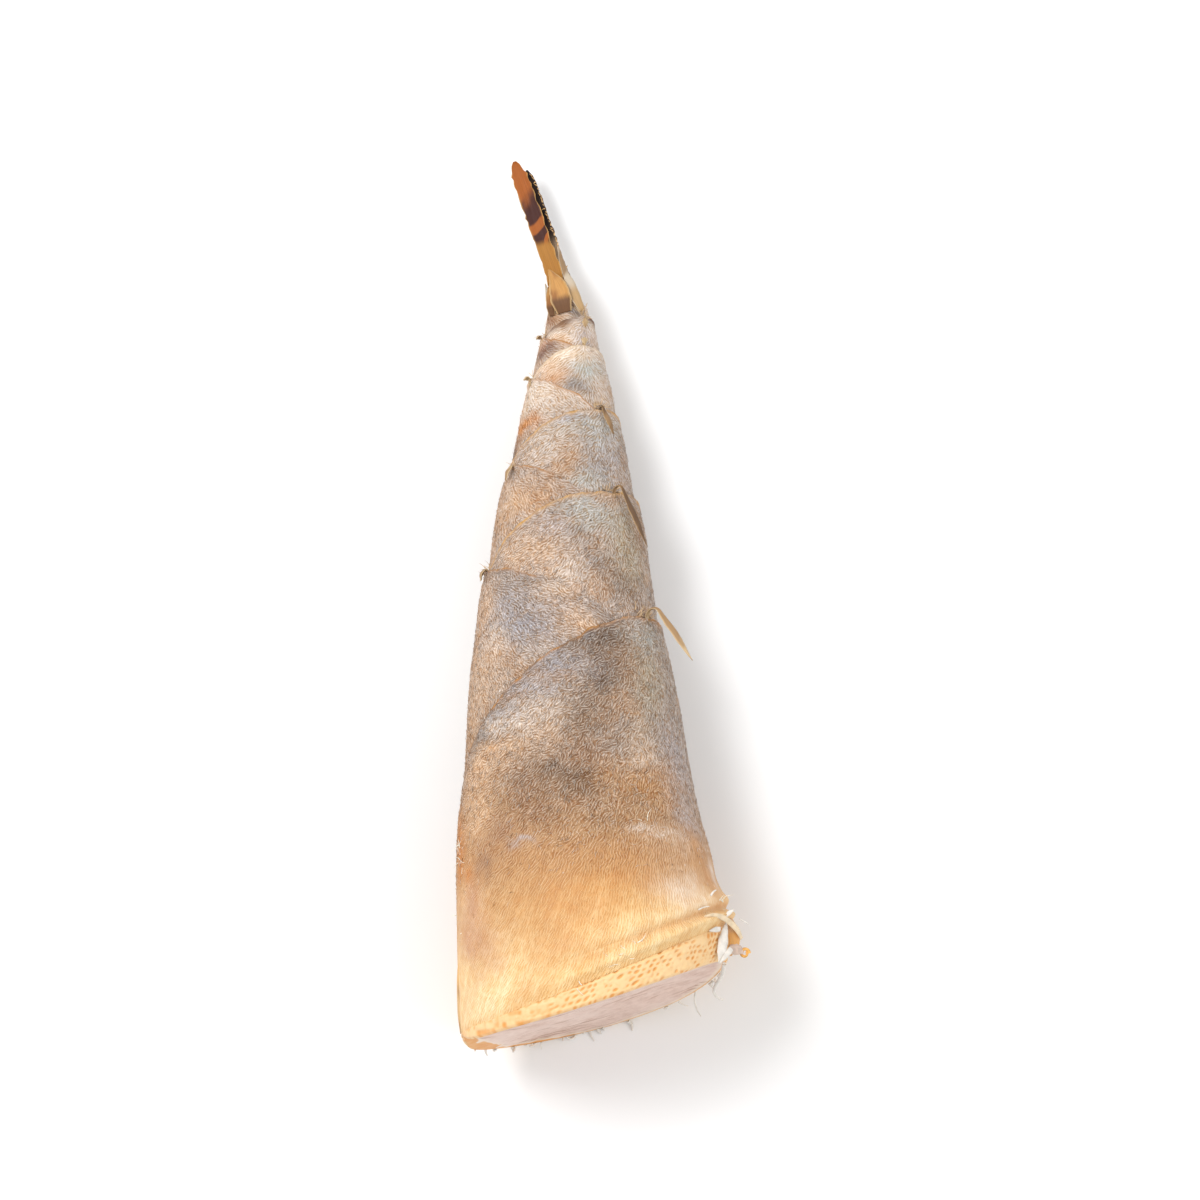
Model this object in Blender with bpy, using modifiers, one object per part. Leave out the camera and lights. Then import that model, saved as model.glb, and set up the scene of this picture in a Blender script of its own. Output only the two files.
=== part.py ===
"""A bamboo shoot as cut from its root: a tapering culm wrapped in leaf sheaths, lying on its side.

The shoot lies along +Y with its tip at the far end, its cut face looking back towards -Y, and its
underside on the plane Z = 0. The culm and every sheath follow one faceted surface, at their own
depth: each sheath lies one PITCH further in than the sheath outside it. A station is a length in
mm along the shoot, and an angle goes round it, from +X towards +Z, in degrees.
"""

import math
from collections import namedtuple

import bmesh
import bpy
from mathutils import Vector

MM = 0.001

# The outline seen from above: station, centre line in X, half width.
OUTLINE = (
    (10.0, 7.4, 38.9),
    (27.0, 7.9, 39.7),
    (51.0, 4.8, 37.4),
    (75.0, 2.5, 34.0),
    (99.5, 1.0, 31.0),
    (124.0, 0.0, 26.8),
    (148.0, -0.1, 22.6),
    (172.5, 0.0, 17.8),
    (197.0, 0.0, 12.1),
    (221.0, 0.0, 6.3),
    (240.0, -0.6, 3.6),
)
FLATTEN = 0.92  # the shoot's height over its width
SHIFT_X, SHIFT_Y = -9.2, -133.6  # puts the middle of the whole shoot over the origin

# The sections near the root are slanted and bowed: across is measured in +X, and the upper side
# bows out towards the root. Both even out by BOW_ENDS.
SLANT, BOW = 0.43, 3.0
BOW_ENDS = 70.0
# The cut slants less, so the root band widens in +X, and the cut face's underside leans out.
CUT_STATION, CUT_SLANT, CUT_LEAN = 12.4, 0.317, 4.6
CUT_ROUND = 1.3  # the cut face's worn edge

FACETS = 24  # round the shoot
ROW = 13.0  # length of a facet along the shoot
SKIN = 0.5  # thickness of a sheath
GAP = 0.3
PITCH = SKIN + GAP
SEAM = 1.5  # half the angle between a sheath's two side edges
BLEND = 15.0  # half the stretch over which a sheath's end is evened out
FOOT_ROUND = 0.2  # how far the culm stands in from the foot of the first sheath

CULM_TAPER, CULM_TIP, CULM_TIP_RADIUS = 182.0, 216.0, 1.0
BLADE_ROWS = 8
STUB_ROWS, STUB_COLUMNS, STUB_SKIN = 4, 6, 0.6

# Where a sheath's foot is, then its ligule: a station and an angle. Its upper edge falls by drop
# from there to the far side, late if power is high.
Sheath = namedtuple("Sheath", "foot top angle drop power blade")
# A blade starts along the sheath, turns outwards by turn within fold of its length, and leans
# sideways. It narrows late if blunt is high.
Blade = namedtuple("Blade", "length width turn fold lean blunt")
SHEATHS = (
    Sheath(18.6, 125.6, 33.0, 78.0, 1.9, Blade(24.0, 3.2, 153.0, 0.28, 0.0, 1.6)),
    Sheath(25.0, 141.0, 165.0, 55.0, 2.2, Blade(9.0, 2.6, 166.0, 0.40, -0.05, 1.6)),
    Sheath(32.0, 163.5, 50.0, 64.0, 2.3, Blade(23.0, 3.6, 166.0, 0.22, 0.03, 1.6)),
    Sheath(41.0, 172.5, 152.0, 60.0, 2.1, Blade(13.0, 2.8, 166.0, 0.30, -0.10, 1.6)),
    Sheath(52.0, 190.0, 52.0, 38.0, 1.95, Blade(24.0, 2.8, 168.0, 0.18, 0.13, 1.6)),
    Sheath(66.0, 200.0, 160.0, 35.0, 2.2, Blade(4.0, 2.2, 120.0, 0.6, 0.0, 1.6)),
    Sheath(82.0, 210.5, 64.0, 36.0, 2.0, Blade(6.0, 2.2, 140.0, 0.5, 0.2, 1.6)),
    Sheath(99.0, 213.2, 160.0, 14.0, 2.0, Blade(3.5, 2.0, 120.0, 0.6, 0.0, 1.6)),
    Sheath(117.0, 220.0, 50.0, 19.0, 2.0, Blade(13.0, 2.2, 164.0, 0.3, 0.25, 1.6)),
    Sheath(135.0, 225.5, 160.0, 12.0, 2.0, Blade(6.0, 2.2, 20.0, 0.8, 0.0, 1.6)),
    Sheath(151.0, 232.5, 112.0, 9.0, 2.0, Blade(35.0, 5.6, 13.0, 0.3, 0.36, 4.0)),
    Sheath(166.0, 232.5, 30.0, 8.0, 2.0, Blade(35.0, 5.0, -18.0, 0.3, 0.18, 3.0)),
)

# What is left of two sheaths that were cut away: angles, stations, distance off the shoot.
Stub = namedtuple("Stub", "low high bottom top off flare")
STUBS = {
    "stub_right": Stub(-32.0, 18.0, 12.0, 28.0, 1.0, 4.5),
    "stub_left": Stub(156.0, 204.0, 17.6, 40.0, 1.3, 0.6),
}


def smooth_step(value):
    value = min(max(value, 0.0), 1.0)
    return value * value * (3.0 - 2.0 * value)


def along_outline(station, column):
    """One column of OUTLINE at a station: a smooth curve through its rows."""
    last = len(OUTLINE) - 2
    i = max(j for j in range(last + 1) if j == 0 or OUTLINE[j][0] <= station)

    def slope(j):
        before, after = max(j - 1, 0), min(j + 1, last + 1)
        rise = OUTLINE[after][column] - OUTLINE[before][column]
        return rise / (OUTLINE[after][0] - OUTLINE[before][0])

    span = OUTLINE[i + 1][0] - OUTLINE[i][0]
    t = min(max((station - OUTLINE[i][0]) / span, 0.0), 1.0)
    start, end = OUTLINE[i][column], OUTLINE[i + 1][column]
    return (
        (2 * t**3 - 3 * t**2 + 1) * start
        + (t**3 - 2 * t**2 + t) * span * slope(i)
        + (3 * t**2 - 2 * t**3) * end
        + (t**3 - t**2) * span * slope(i + 1)
    )


def sheaths_ended(station):
    """How many sheaths have ended by a station, evened out along the shoot."""
    middles = [s.top - s.drop / (s.power + 1.0) for s in SHEATHS[:-1]]
    return sum(smooth_step((station - m + BLEND) / (2 * BLEND)) for m in middles)


def corner(row, column, depth):
    """A corner of the faceted surface at a depth below the first sheath's face, in mm."""
    station = row * ROW
    angle = math.radians(-90.0 + (column + 0.5) * 360.0 / FACETS)
    full = along_outline(station, 2) + sheaths_ended(station) * PITCH
    across = (full - depth) * math.cos(angle)
    up = (FLATTEN * full - depth) * math.sin(angle)
    uneven = 1.0 - smooth_step((station - CUT_STATION) / (BOW_ENDS - CUT_STATION))
    bowed = SLANT * across - BOW * max(math.sin(angle), 0.0) ** 2
    return Vector(
        (
            along_outline(station, 1) + across + SHIFT_X,
            station + uneven * bowed + SHIFT_Y,
            FLATTEN * full * math.cos(math.pi / FACETS) + up,
        )
    )


def on_surface(station, angle, depth):
    """A point on the facets at any station and angle."""
    row, along = divmod(station / ROW, 1.0)
    column, turn = divmod((angle + 90.0) * FACETS / 360.0 - 0.5, 1.0)
    edges = [
        corner(row, c, depth).lerp(corner(row + 1, c, depth), along)
        for c in (column, column + 1)
    ]
    return edges[0].lerp(edges[1], turn)


def corner_angles():
    """The facets' corners, the first one just past the underside."""
    return [-90.0 + (i + 0.5) * 360.0 / FACETS for i in range(FACETS)]


def rows_between(low, high):
    """The stations of a surface from low to high: its ends, and every row of facets between."""
    inner = [i * ROW for i in range(100) if low + 0.5 < i * ROW < high - 0.5]
    return [low, *inner, high]


def loft(bm, rows, closed=False):
    """Faces through rows of points in mm, which face outwards. closed joins each row's ends."""
    grid = [[bm.verts.new(point * MM) for point in row] for row in rows]
    for low, high in zip(grid, grid[1:]):
        for i in range(len(low) if closed else len(low) - 1):
            j = (i + 1) % len(low)
            bm.faces.new((low[i], high[i], high[j], low[j]))
    return grid


def add_object(name, bm, surface, collection, thickness=0.0):
    """Makes a node of a mesh. An open surface gets a thickness in mm, inwards."""
    mesh = bpy.data.meshes.new(name)
    bm.to_mesh(mesh)
    bm.free()
    mesh.materials.append(surface)
    mesh.shade_smooth()
    mesh.set_sharp_from_angle(angle=math.radians(40.0))
    obj = bpy.data.objects.new(name, mesh)
    if thickness:
        shell = obj.modifiers.new("skin", "SOLIDIFY")
        shell.thickness = thickness * MM
        shell.offset = -1.0
        shell.use_even_offset = True
    collection.objects.link(obj)


def material(name, colour, roughness):
    made = bpy.data.materials.new(name)
    made.use_nodes = True
    shader = made.node_tree.nodes["Principled BSDF"]
    shader.inputs["Base Color"].default_value = (*colour, 1.0)
    shader.inputs["Roughness"].default_value = roughness
    return made


def add_culm(surface, collection):
    """The culm: the root band, a step inwards under each sheath's foot, and the growing tip."""
    sections = [(CUT_STATION, CUT_ROUND), (CUT_STATION + CUT_ROUND, FOOT_ROUND)]
    feet = [sheath.foot for sheath in SHEATHS]
    for count, (low, high) in enumerate(zip([sections[-1][0], *feet], [*feet, CULM_TAPER])):
        depth = count * PITCH + (0.0 if count else FOOT_ROUND)
        sections += [(s, depth) for s in rows_between(low, high)[0 if count else 1 :]]
    full = along_outline(CULM_TAPER, 2) + sheaths_ended(CULM_TAPER) * PITCH
    for share in (0.33, 0.67, 1.0):
        station = CULM_TAPER + share * (CULM_TIP - CULM_TAPER)
        wide = along_outline(station, 2) + sheaths_ended(station) * PITCH
        radius = (full - sections[-1][1]) * (1.0 - share) + CULM_TIP_RADIUS * share
        sections.append((station, wide - radius))
    bm = bmesh.new()
    rows = [[on_surface(s, a, depth) for a in corner_angles()] for s, depth in sections]
    for row in rows[:2]:
        for i, angle in enumerate(corner_angles()):
            across = row[i].x - SHIFT_X - along_outline(CUT_STATION, 1)
            turn = math.radians(angle)
            lean = CUT_LEAN * max(-math.sin(turn), 0.0) * (1.0 + 0.5 * math.cos(turn))
            row[i].y -= (SLANT - CUT_SLANT) * across + lean
    grid = loft(bm, rows, closed=True)
    bm.faces.new(grid[0])
    bm.faces.new(reversed(grid[-1]))
    add_object("culm", bm, surface, collection)


def upper_edge(sheath, angle):
    """The station where a sheath ends, at an angle."""
    away = abs((angle - sheath.angle + 180.0) % 360.0 - 180.0)
    return sheath.top - sheath.drop * (away / 180.0) ** sheath.power


def sheath_angles(sheath, reach):
    """The angles of a sheath's columns: corners of facets, its side edges, and its blade's foot."""
    low, high = sheath.angle - 180.0 + SEAM, sheath.angle + 180.0 - SEAM
    blade = [sheath.angle - reach, sheath.angle, sheath.angle + reach]
    corners = [a + turn for a in corner_angles() for turn in (-360.0, 0.0, 360.0)]
    own = [low, high, *blade]
    return sorted(own + [a for a in corners if low < a < high and min(abs(a - b) for b in own) > 1.0])


def blade_rows(blade, left, middle, right, below):
    """Rows of three points for a blade on a foot. below is a point of the sheath under its middle."""
    across = (right - left).normalized()
    up = (middle - below).normalized()
    out = up.cross(across).normalized()
    rows, centre, share = [], middle.copy(), 0.0
    for row in range(BLADE_ROWS):
        half_way = row < BLADE_ROWS // 2
        step = (blade.fold if half_way else 1.0 - blade.fold) / (BLADE_ROWS // 2)
        share += step
        turn = math.radians(blade.turn) * min(share / blade.fold, 1.0)
        way = up * math.cos(turn) + out * math.sin(turn) + across * blade.lean
        centre = centre + way * blade.length * step
        half = 0.5 * blade.width * (1.0 - 0.92 * share**blade.blunt) * across
        rows.append([centre - half, centre.copy(), centre + half])
    return rows


def add_sheath(name, count, sheath, surface, collection):
    """One leaf: a sheath wrapped round the shoot, with its blade standing on its ligule.

    Rows of facets that lie past the upper edge end on it, so they close up to nothing there.
    """
    depth = count * PITCH
    full = along_outline(sheath.top, 2) + sheaths_ended(sheath.top) * PITCH
    reach = math.degrees(0.5 * sheath.blade.width / (full - depth))
    angles = sheath_angles(sheath, reach)
    stations = rows_between(sheath.foot + GAP, sheath.top)
    rows = [[on_surface(min(s, upper_edge(sheath, a)), a, depth) for a in angles] for s in stations]
    bm = bmesh.new()
    grid = loft(bm, rows)
    middle = angles.index(sheath.angle)
    foot = grid[-1][middle - 1 : middle + 2]
    points = [vert.co / MM for vert in foot] + [rows[-2][middle]]
    low = foot
    for row in blade_rows(sheath.blade, *points):
        high = [bm.verts.new(point * MM) for point in row]
        for i in range(2):
            bm.faces.new((low[i], high[i], high[i + 1], low[i + 1]))
        low = high
    bmesh.ops.remove_doubles(bm, verts=bm.verts, dist=0.00002)
    add_object(name, bm, surface, collection, SKIN)


def add_stub(name, stub, surface, collection):
    """A short flap at the shoot's foot, rounded at its top and standing off at its bottom."""
    rows = []
    for row in range(STUB_ROWS + 1):
        up = row / STUB_ROWS
        points = []
        for column in range(STUB_COLUMNS + 1):
            across = column / STUB_COLUMNS
            middle = 1.0 - (2.0 * across - 1.0) ** 2
            station = stub.bottom + up * (stub.top - stub.bottom) * (0.55 + 0.45 * middle)
            off = stub.off + stub.flare * (1.0 - up) ** 2 * middle
            points.append(on_surface(station, stub.low + (stub.high - stub.low) * across, -off))
        rows.append(points)
    bm = bmesh.new()
    loft(bm, rows)
    add_object(name, bm, surface, collection, STUB_SKIN)


def main():
    for old in list(bpy.data.objects):
        bpy.data.objects.remove(old)
    collection = bpy.data.collections.new("bamboo_shoot")
    bpy.context.scene.collection.children.link(collection)

    add_culm(material("flesh", (0.86, 0.66, 0.42), 0.5), collection)
    felt = material("sheath_felt", (0.42, 0.30, 0.22), 0.9)
    tip = material("tip_blade", (0.50, 0.22, 0.06), 0.5)
    for count, sheath in enumerate(SHEATHS):
        surface = tip if count >= len(SHEATHS) - 2 else felt
        add_sheath(f"sheath_{count + 1:02d}", count, sheath, surface, collection)
    cut = material("cut_sheath", (0.90, 0.76, 0.58), 0.6)
    for name, stub in STUBS.items():
        add_stub(name, stub, cut, collection)


main()
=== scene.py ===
"""The looks of a bamboo shoot that lies on its side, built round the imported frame.

A point of the shoot has a station, an angle and a depth, and surface() turns them into a place. The
stem, the sheaths, their colours and most fibres are laid out that way, and the torn strips by points
in mm. A layer is the number of a sheath less one. Lengths are in mm up to the meshes.
"""

import math
from collections import namedtuple

import bpy
import numpy as np
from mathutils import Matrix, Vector


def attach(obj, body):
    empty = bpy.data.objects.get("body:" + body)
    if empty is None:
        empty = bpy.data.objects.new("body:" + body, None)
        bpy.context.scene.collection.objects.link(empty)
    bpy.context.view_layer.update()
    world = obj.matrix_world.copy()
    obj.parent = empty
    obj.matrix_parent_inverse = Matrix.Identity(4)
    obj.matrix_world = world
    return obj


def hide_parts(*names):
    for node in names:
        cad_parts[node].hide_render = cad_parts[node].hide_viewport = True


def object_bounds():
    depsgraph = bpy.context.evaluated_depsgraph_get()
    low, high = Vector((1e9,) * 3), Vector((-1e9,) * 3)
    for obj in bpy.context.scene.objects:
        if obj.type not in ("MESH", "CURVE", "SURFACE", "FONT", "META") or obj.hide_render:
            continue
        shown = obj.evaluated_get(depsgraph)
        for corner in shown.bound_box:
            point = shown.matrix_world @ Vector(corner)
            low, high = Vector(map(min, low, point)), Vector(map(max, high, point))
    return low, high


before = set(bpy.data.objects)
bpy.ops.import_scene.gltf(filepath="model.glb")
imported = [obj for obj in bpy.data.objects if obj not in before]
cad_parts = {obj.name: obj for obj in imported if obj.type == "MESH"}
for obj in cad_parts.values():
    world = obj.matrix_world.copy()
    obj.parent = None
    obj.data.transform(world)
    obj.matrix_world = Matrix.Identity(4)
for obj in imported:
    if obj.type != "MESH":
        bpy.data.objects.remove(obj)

cad_low, cad_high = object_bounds()
rng = np.random.default_rng(12)

# ---------------------------------------------------------------- the shoot's form, as in the CAD
# A station is a length along the shoot, and an angle goes round it from +X towards +Z, in degrees.
# The outline's rows: station, middle line, half width as seen.
OUTLINE = np.array((
    (10.0, 7.4, 38.9), (27.0, 7.9, 39.7), (51.0, 4.8, 37.4), (75.0, 2.5, 34.0),
    (99.5, 1.0, 31.0), (124.0, 0.0, 26.8), (148.0, -0.1, 22.6), (172.5, 0.0, 17.8),
    (197.0, 0.0, 12.1), (221.0, 0.0, 6.3), (240.0, -0.6, 3.6),
))
FLATTEN = 0.92
SHIFT_X, SHIFT_Y = -9.2, -133.6
SLANT, BOW, BOW_ENDS = 0.43, 3.0, 70.0
CUT_STATION, CUT_SLANT, CUT_LEAN = 12.4, 0.317, 4.6
PITCH = 0.8
BLEND = 15.0
CENTRE_HEIGHT = 0.9914
NECK_FROM, NECK_LONG, NECK_THINNER, NECK_LEAN = 221.0, 12.0, 0.32, 2.8

Sheath = namedtuple("Sheath", "foot top angle drop power blade")
Blade = namedtuple("Blade", "length width turn fold lean")
# A sheath to a row: the fields of Sheath, then those of its Blade.
ROWS = (
    (18.6, 125.6, 33.0, 78.0, 1.9, 24.0, 3.2, 153.0, 0.28, 0.0),
    (25.0, 141.0, 165.0, 55.0, 2.2, 9.0, 2.6, 166.0, 0.40, -0.05),
    (32.0, 163.5, 50.0, 64.0, 2.3, 23.0, 3.6, 166.0, 0.22, 0.03),
    (41.0, 172.5, 152.0, 60.0, 2.1, 13.0, 2.8, 166.0, 0.30, -0.10),
    (52.0, 190.0, 52.0, 38.0, 1.95, 24.0, 2.8, 168.0, 0.18, 0.13),
    (66.0, 200.0, 160.0, 35.0, 2.2, 4.0, 2.2, 120.0, 0.6, 0.0),
    (82.0, 210.5, 64.0, 36.0, 2.0, 6.0, 2.2, 140.0, 0.5, 0.2),
    (99.0, 213.2, 160.0, 14.0, 2.0, 3.5, 2.0, 120.0, 0.6, 0.0),
    (117.0, 220.0, 50.0, 19.0, 2.0, 13.0, 2.2, 164.0, 0.3, 0.25),
    (135.0, 225.5, 160.0, 12.0, 2.0, 6.0, 2.2, 20.0, 0.8, 0.0),
    (151.0, 232.5, 112.0, 9.0, 2.0, 35.0, 5.6, 13.0, 0.3, 0.36),
    (166.0, 232.5, 30.0, 8.0, 2.0, 35.0, 5.0, -18.0, 0.3, 0.18),
)
SHEATHS = tuple(Sheath(*row[:5], Blade(*row[5:])) for row in ROWS)

MM = 0.001
GRID = 0.7  # the fine meshes' spacing on the upper side
HIDDEN_GRID = 4.0  # the same where other sheaths cover one
EDGE_STEP = 0.3  # how far a sheath's thin upper edge stands off the sheath inside it
THIN_OVER = 9.0  # the length over which a sheath thins to that
AMBER_LAYER, DARK_LAYER = 10, 11  # the two sheaths whose long blades make the tip


def smooth(value):
    """An even rise from 0 to 1."""
    value = np.clip(value, 0.0, 1.0)
    return value * value * (3.0 - 2.0 * value)


def bell(offset, width):
    """1 in the middle, and 0.37 at the width."""
    return np.exp(-((offset / width) ** 2))


def wrapped(angle):
    """An angle or a difference of two, brought to -180 to 180 degrees."""
    return (angle + 180.0) % 360.0 - 180.0


def along_outline(station, column):
    """One column of OUTLINE at each station: a smooth curve through its rows."""
    where, what = OUTLINE[:, 0], OUTLINE[:, column]
    last = len(where) - 1
    before = np.maximum(np.arange(last + 1) - 1, 0)
    after = np.minimum(np.arange(last + 1) + 1, last)
    slope = (what[after] - what[before]) / (where[after] - where[before])
    station = np.asarray(station, float)
    i = np.clip(np.searchsorted(where, station, side="right") - 1, 0, last - 1)
    span = where[i + 1] - where[i]
    t = np.clip((station - where[i]) / span, 0.0, 1.0)
    return (
        (2 * t**3 - 3 * t**2 + 1) * what[i]
        + (t**3 - 2 * t**2 + t) * span * slope[i]
        + (3 * t**2 - 2 * t**3) * what[i + 1]
        + (t**3 - t**2) * span * slope[i + 1]
    )


def visible_depth(station):
    """The depth of the outermost sheath that still covers a station, on average."""
    middles = [s.top - s.drop / (s.power + 1.0) for s in SHEATHS[:-1]]
    return sum(smooth((station - m + BLEND) / (2 * BLEND)) for m in middles) * PITCH


def full_width(station):
    """Half the width of the outermost face, carried on past where its sheath ends."""
    return along_outline(station, 2) + visible_depth(station)


def surface(station, angle, depth):
    """Points at a depth below the outermost face, as arrays of shape (..., 3)."""
    station, angle, depth = np.broadcast_arrays(*map(np.asarray, (station, angle, depth)))
    turn = np.radians(angle)
    neck = smooth((station - NECK_FROM) / NECK_LONG)
    full = full_width(station) - NECK_THINNER * neck * along_outline(station, 2)
    across = (full - depth) * np.cos(turn) - NECK_LEAN * neck
    up = (FLATTEN * full - depth) * np.sin(turn)
    uneven = 1.0 - smooth((station - CUT_STATION) / (BOW_ENDS - CUT_STATION))
    bowed = SLANT * across - BOW * np.maximum(np.sin(turn), 0.0) ** 2
    return np.stack(
        [
            along_outline(station, 1) + across + SHIFT_X,
            station + uneven * bowed + SHIFT_Y,
            np.maximum(FLATTEN * full_width(station) * CENTRE_HEIGHT + up, 0.0),
        ],
        axis=-1,
    )


def upper_edge(sheath, away):
    """The station a sheath ends at, so many degrees away from the foot of its blade."""
    return sheath.top - sheath.drop * (np.abs(away) / 180.0) ** sheath.power


# ---------------------------------------------------------------- noise
def noise(points, seed):
    """Smooth noise from -1 to 1 at points of shape (..., 3), one lump a unit.

    Each use has a seed of its own, so that no two kinds of lumps or specks go together.
    """
    points = np.asarray(points, float) + 1000.0
    cell = np.floor(points).astype(np.int64)
    part = points - cell
    part = part * part * part * (part * (part * 6.0 - 15.0) + 10.0)
    total = 0.0
    for dx in (0, 1):
        for dy in (0, 1):
            for dz in (0, 1):
                key = (
                    (cell[..., 0] + dx) * 73856093
                    ^ (cell[..., 1] + dy) * 19349663
                    ^ (cell[..., 2] + dz) * 83492791
                    ^ (seed + 11) * 2654435761
                )
                key = (key ^ (key >> 13)) * 1274126177 & 0x7FFFFFFF
                value = ((key ^ (key >> 16)) & 0xFFFF) / 32767.5 - 1.0
                weight = (
                    (part[..., 0] if dx else 1.0 - part[..., 0])
                    * (part[..., 1] if dy else 1.0 - part[..., 1])
                    * (part[..., 2] if dz else 1.0 - part[..., 2])
                )
                total = total + value * weight
    return total


OCTAVES = 3


def fractal(points, seed):
    """Noise with finer noise on it."""
    total, size, most = 0.0, 1.0, 0.0
    for octave in range(OCTAVES):
        total = total + size * noise(np.asarray(points) * 2.0**octave, seed + octave)
        most += size
        size *= 0.55
    return total / most * 1.4


# ---------------------------------------------------------------- meshes
def mesh_object(name, points, faces, material, attributes=None):
    """A piece from points in mm and a list of arrays of faces, riding on the frame."""
    mesh = bpy.data.meshes.new(name)
    loops = np.concatenate([f.ravel() for f in faces])
    totals = np.concatenate([np.full(len(f), f.shape[1]) for f in faces])
    mesh.vertices.add(len(points))
    mesh.vertices.foreach_set("co", (points * MM).astype(np.float32).ravel())
    mesh.loops.add(len(loops))
    mesh.loops.foreach_set("vertex_index", loops.astype(np.int32))
    mesh.polygons.add(len(totals))
    mesh.polygons.foreach_set("loop_start", (np.cumsum(totals) - totals).astype(np.int32))
    mesh.update(calc_edges=True)
    mesh.polygons.foreach_set("use_smooth", np.full(len(totals), True))
    for key, values in (attributes or {}).items():
        kinds = {1: ("FLOAT", "value"), 3: ("FLOAT_VECTOR", "vector"), 4: ("FLOAT_COLOR", "color")}
        kind, field = kinds[values.size // len(values)]
        made = mesh.attributes.new(key, kind, "POINT")
        made.data.foreach_set(field, values.astype(np.float32).ravel())
    mesh.materials.append(material)
    mesh.validate()
    piece = bpy.data.objects.new(name, mesh)
    bpy.context.scene.collection.objects.link(piece)
    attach(piece, "root")
    return piece


def grid_faces(rows, columns, start=0, closed=False):
    """Quads of a grid of points, facing outwards where columns go round and rows go along."""
    across = np.arange(columns if closed else columns - 1)
    i, j = np.meshgrid(np.arange(rows - 1), across, indexing="ij")
    i, j = i.ravel(), j.ravel()
    k = (j + 1) % columns
    return start + np.stack(
        [i * columns + j, (i + 1) * columns + j, (i + 1) * columns + k, i * columns + k], axis=1
    )


def shell(outer, inner, keep_rows):
    """Points and faces of a closed shell from a fine outer grid and an inner one of fewer rows.

    keep_rows says which rows of the outer grid the inner rows lie under, its ends included.
    """
    rows, columns = outer.shape[:2]
    points = np.concatenate([outer.reshape(-1, 3), inner.reshape(-1, 3)])
    base = rows * columns
    faces = [grid_faces(rows, columns), grid_faces(len(keep_rows), columns, base)[:, ::-1]]
    last = len(keep_rows) - 1
    j = np.arange(columns - 1)
    foot_outer, foot_inner = j, base + j
    faces.append(np.stack([foot_outer, foot_outer + 1, foot_inner + 1, foot_inner], axis=1))
    top_outer, top_inner = (rows - 1) * columns + j, base + last * columns + j
    faces.append(np.stack([top_outer, top_inner, top_inner + 1, top_outer + 1], axis=1))
    for side, column in ((1, 0), (-1, columns - 1)):
        for k in range(last):
            strip = [r * columns + column for r in range(keep_rows[k], keep_rows[k + 1] + 1)]
            strip += [base + (k + 1) * columns + column, base + k * columns + column]
            faces.append(np.array([strip[::-side] if side == 1 else strip]))
    return points, faces


# ---------------------------------------------------------------- colours
def srgb(red, green, blue):
    """A colour given in 0 to 255 as seen on a screen, as linear values."""
    value = np.array([red, green, blue]) / 255.0
    return np.where(value <= 0.04045, value / 12.92, ((value + 0.055) / 1.055) ** 2.4)


GOLD = srgb(232, 188, 130)
LIGHT_GOLD = srgb(244, 218, 174)
AMBER = srgb(212, 160, 106)
TAN = srgb(196, 158, 122)
CREAM = srgb(226, 204, 184)
WARM_GREY = srgb(174, 162, 154)
LAVENDER = srgb(188, 180, 184)
SLATE = srgb(132, 126, 126)
DARK = srgb(84, 68, 56)
PURPLE_BROWN = srgb(150, 116, 98)
ORANGE = srgb(204, 138, 70)
PALE = srgb(232, 222, 214)
EDGE = srgb(180, 126, 66)
CREAM_WHITE = srgb(244, 230, 214)
SALMON = srgb(228, 194, 160)
MAUVE = srgb(196, 148, 120)
BROWN = srgb(158, 124, 96)
GOLD_BROWN = srgb(190, 146, 98)
TAUPE = srgb(140, 120, 104)
DEEP_TAUPE = srgb(104, 88, 76)
BLUE_GREY = srgb(160, 160, 170)
COOL = srgb(188, 192, 192)
OLIVE = srgb(176, 168, 148)

# The colour along the shoot before its patches: station, red, green, blue.
ALONG = (
    (14, 244, 218, 164),
    (28, 236, 198, 140),
    (40, 202, 155, 104),
    (54, 192, 150, 108),
    (66, 178, 144, 110),
    (80, 178, 150, 126),
    (95, 180, 160, 144),
    (110, 186, 170, 158),
    (130, 192, 176, 166),
    (165, 194, 178, 168),
    (185, 206, 192, 182),
    (203, 230, 217, 208),
    (213, 234, 222, 212),
    (221, 212, 196, 182),
    (226, 154, 108, 64),
    (233, 160, 108, 54),
)

# The upper edge of each sheath: its colour, and how wide it is in mm.
EDGES = (
    (EDGE, 0.8),
    (EDGE, 0.7),
    (srgb(206, 158, 92), 1.0),
    (EDGE, 0.6),
    (srgb(198, 154, 98), 0.9),
    (EDGE, 0.6),
    (srgb(220, 196, 164), 0.9),
    (EDGE, 0.6),
    (srgb(112, 78, 54), 1.3),
    (srgb(212, 184, 144), 1.0),
    (srgb(206, 160, 100), 0.8),
    (srgb(170, 120, 66), 0.9),
)

# By layer: the angle below which a sheath's edge fades into what lies on it.
EDGE_FADES = {1: 104.0, 3: 100.0}

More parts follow.
